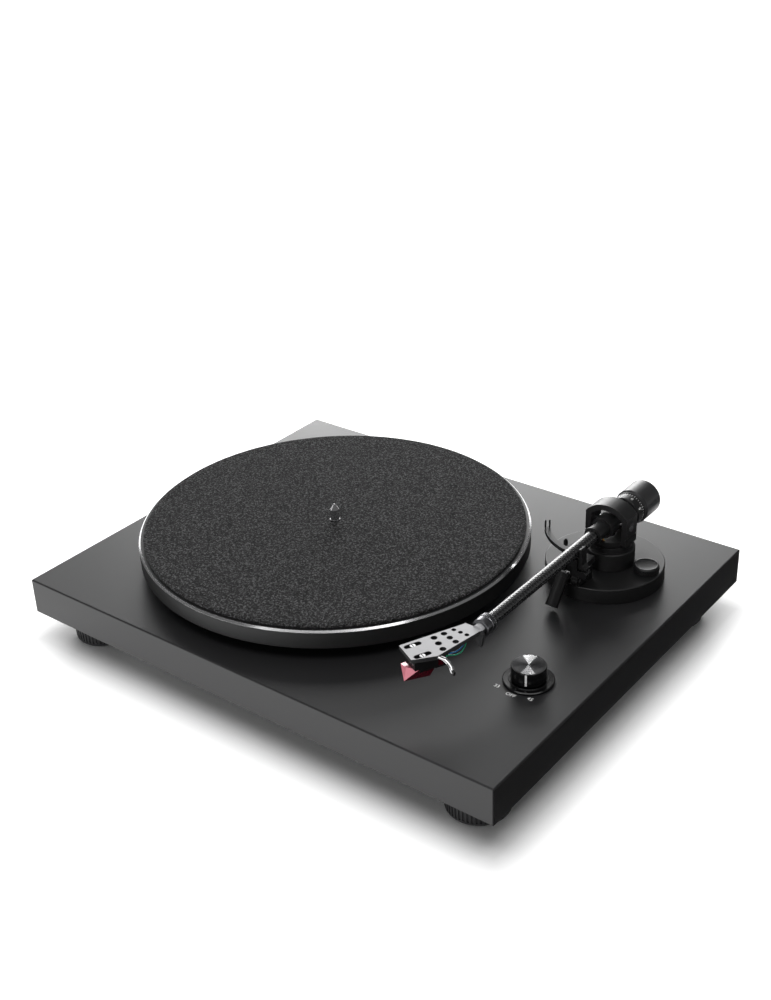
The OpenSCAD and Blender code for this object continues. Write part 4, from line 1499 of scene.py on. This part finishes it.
@dataclass
class Studio:
    """The pale floor, the lights and the camera.

    Attributes:
        azimuth: how far the camera stands round from the front, in degrees.
        elevation: how high it stands, in degrees.
        roll: how far it is turned about its own line of sight, in degrees.
        distance: how far it stands from its target, in millimetres.
        target: what it looks at, in millimetres.
        lens: focal length for a 36 mm sensor.
        key_strength: strength of the broad key light.
        floor_glow: how much the floor shines by itself.
        painted_shadow_reach: how far out from the plinth a shadow is painted into the floor's emission, in
            millimetres.
        room_glow: brightness of the dim room all round.
    """

    azimuth: float = 38.508
    elevation: float = 28.693
    roll: float = -2.274
    distance: float = 1160.487
    target: Point = (-62.222, 80.684, 54.0)
    lens: float = 50.793
    key_strength: float = 1.6
    floor_glow: float = 0.5
    painted_shadow_reach: float = 24.0
    room_glow: float = 0.12

    def build(self) -> None:
        """Sets up the whole studio."""
        self.floor()
        self.surroundings()
        self.key()
        self.panel("rear_wall", (-1.9, 2.4, 1.35), (0, 0, 0.1), 3.6, 2.2, 32)
        self.panel("rear_glow", (-1.3, 1.9, 0.55), (0, 0, 0.1), 1.5, 0.8, 30)
        self.panel("overhead", (0.3, -0.5, 2.0), (0, 0, 0), 2.4, 1.3, 17)
        self.panel("left_fill", (-1.5, -1.3, 0.45), (0, 0, 0.05), 0.9, 0.7, 3)
        self.panel("front_strip", (0.1, -2.2, 0.28), (-0.05, 0, 0.07), 0.7, 0.3, 12)
        self.flag()
        self.backdrop()
        self.camera()

    def floor(self) -> None:
        """Lays a wide pale floor that isn't part of the object, with a shadow painted into its emission round
        the plinth.
        """
        bpy.ops.object.select_all(action="DESELECT")
        bpy.ops.mesh.primitive_plane_add(size=30)
        plane = added("floor")
        recipe = Recipe("floor_white")
        colour = recipe.mix(recipe.noise(40, 3), (0.91, 0.91, 0.91), (0.93, 0.93, 0.93))
        x, y, _ = recipe.axes()
        _, corner = span("plinth")
        # painted shadow: the floor's emission fades to nothing under the plinth and near its edges
        past_side = (x.math("ABSOLUTE") - corner.x).math("MAXIMUM", 0.0)
        past_front = (y.math("ABSOLUTE") - corner.y).math("MAXIMUM", 0.0)
        away = (past_side * past_side + past_front * past_front).math("SQRT")
        emission_with_painted_shadow = recipe.mix(away.between(0.0, self.painted_shadow_reach), (0.0, 0.0, 0.0), (1.0, 1.0, 1.0))
        plane.data.materials.append(recipe.shade(colour, 0.9, Specular_IOR_Level=0.1, Emission_Color=emission_with_painted_shadow,
                                                 Emission_Strength=self.floor_glow))

    def flag(self) -> None:
        """Lays a black card right of the object that shows only in reflections."""
        bpy.ops.object.select_all(action="DESELECT")
        bpy.ops.mesh.primitive_plane_add(size=1.4, location=(0.915, 0.3, 0.0005))
        card = added("flag")
        black = Recipe("flag_black").shade((0.004, 0.004, 0.004), 1.0, Specular_IOR_Level=0.0)
        card.data.materials.append(black)
        card.visible_camera = card.visible_diffuse = card.visible_shadow = False

    def backdrop(self) -> None:
        """Puts a plain white wall all round that only the camera sees."""
        bpy.ops.object.select_all(action="DESELECT")
        bpy.ops.mesh.primitive_cylinder_add(vertices=64, radius=14, depth=12, end_fill_type="NOTHING")
        wall = added("backdrop")
        white = Recipe("backdrop_white").shade((0, 0, 0), 1.0, Specular_IOR_Level=0.0,
                                               Emission_Color=(1, 1, 1, 1), Emission_Strength=1.0)
        wall.data.materials.append(white)
        wall.visible_diffuse = wall.visible_glossy = wall.visible_shadow = False

    def surroundings(self) -> None:
        """Lights the scene faintly from all round."""
        world = bpy.data.worlds.new("room")
        bpy.context.scene.world = world
        world.use_nodes = True
        background = world.node_tree.nodes["Background"]
        background.inputs["Color"].default_value = (1, 1, 1, 1)
        background.inputs["Strength"].default_value = self.room_glow
        bpy.context.scene.view_settings.view_transform = "Standard"

    def hang(self, light: bpy.types.Light, place: Point, aim: Point) -> bpy.types.Object:
        """Hangs a light that the camera can't see.

        Args:
            light: the light's data.
            place: where it hangs, in metres.
            aim: the point that it faces, in metres.

        Returns:
            The lamp.
        """
        lamp = bpy.data.objects.new(light.name, light)
        bpy.context.scene.collection.objects.link(lamp)
        lamp.location = place
        lamp.rotation_euler = (Vector(aim) - Vector(place)).to_track_quat("-Z", "Y").to_euler()
        lamp.visible_camera = False
        return lamp

    def key(self) -> None:
        """Lights floor and object from a broad sky that shows in no reflection."""
        sky = bpy.data.lights.new("sky_key", "SUN")
        sky.energy = self.key_strength
        sky.angle = math.radians(80)
        self.hang(sky, (-0.5, 0.4, 2.0), (0, 0, 0)).visible_glossy = False

    def panel(self, name: str, place: Point, aim: Point, width: float, height: float, watts: float) -> None:
        """Hangs a soft light panel.

        Args:
            name: the light's name.
            place: where it hangs, in metres.
            aim: the point that it faces, in metres.
            width: its width, in metres.
            height: its height, in metres.
            watts: its power.
        """
        light = bpy.data.lights.new(name, "AREA")
        light.shape = "RECTANGLE"
        light.size = width
        light.size_y = height
        light.energy = watts
        self.hang(light, place, aim)

    def camera(self) -> None:
        """Stands the camera at its place round the object."""
        around, up, roll = (math.radians(v) for v in (self.azimuth, self.elevation, self.roll))
        back = Vector((math.sin(around) * math.cos(up), -math.cos(around) * math.cos(up), math.sin(up)))
        right = Vector((math.cos(around), math.sin(around), 0))
        above = back.cross(right)
        side = right * math.cos(roll) + above * math.sin(roll)
        top = above * math.cos(roll) - right * math.sin(roll)
        data = bpy.data.cameras.new("camera")
        data.lens = self.lens
        data.sensor_width = 36
        data.clip_start = 0.01
        eye = bpy.data.objects.new("camera", data)
        bpy.context.scene.collection.objects.link(eye)
        turn = Matrix((side, top, back)).transposed().to_4x4()
        eye.matrix_world = Matrix.Translation((Vector(self.target) + back * self.distance) * MM) @ turn
        bpy.context.scene.camera = eye


def main() -> None:
    """Builds the studio and every sub-assembly."""
    logging.basicConfig(level=logging.INFO, format="%(name)s %(message)s")
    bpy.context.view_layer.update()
    palette = Palette()
    Studio().build()
    palette.dress_nodes()
    for kind in (Chassis, Turntable, SpeedKnob, ArmBase, Arm, Head):
        log.info("building %s", kind.__name__)
        kind(palette).build()


if __name__ == "__main__":
    main()
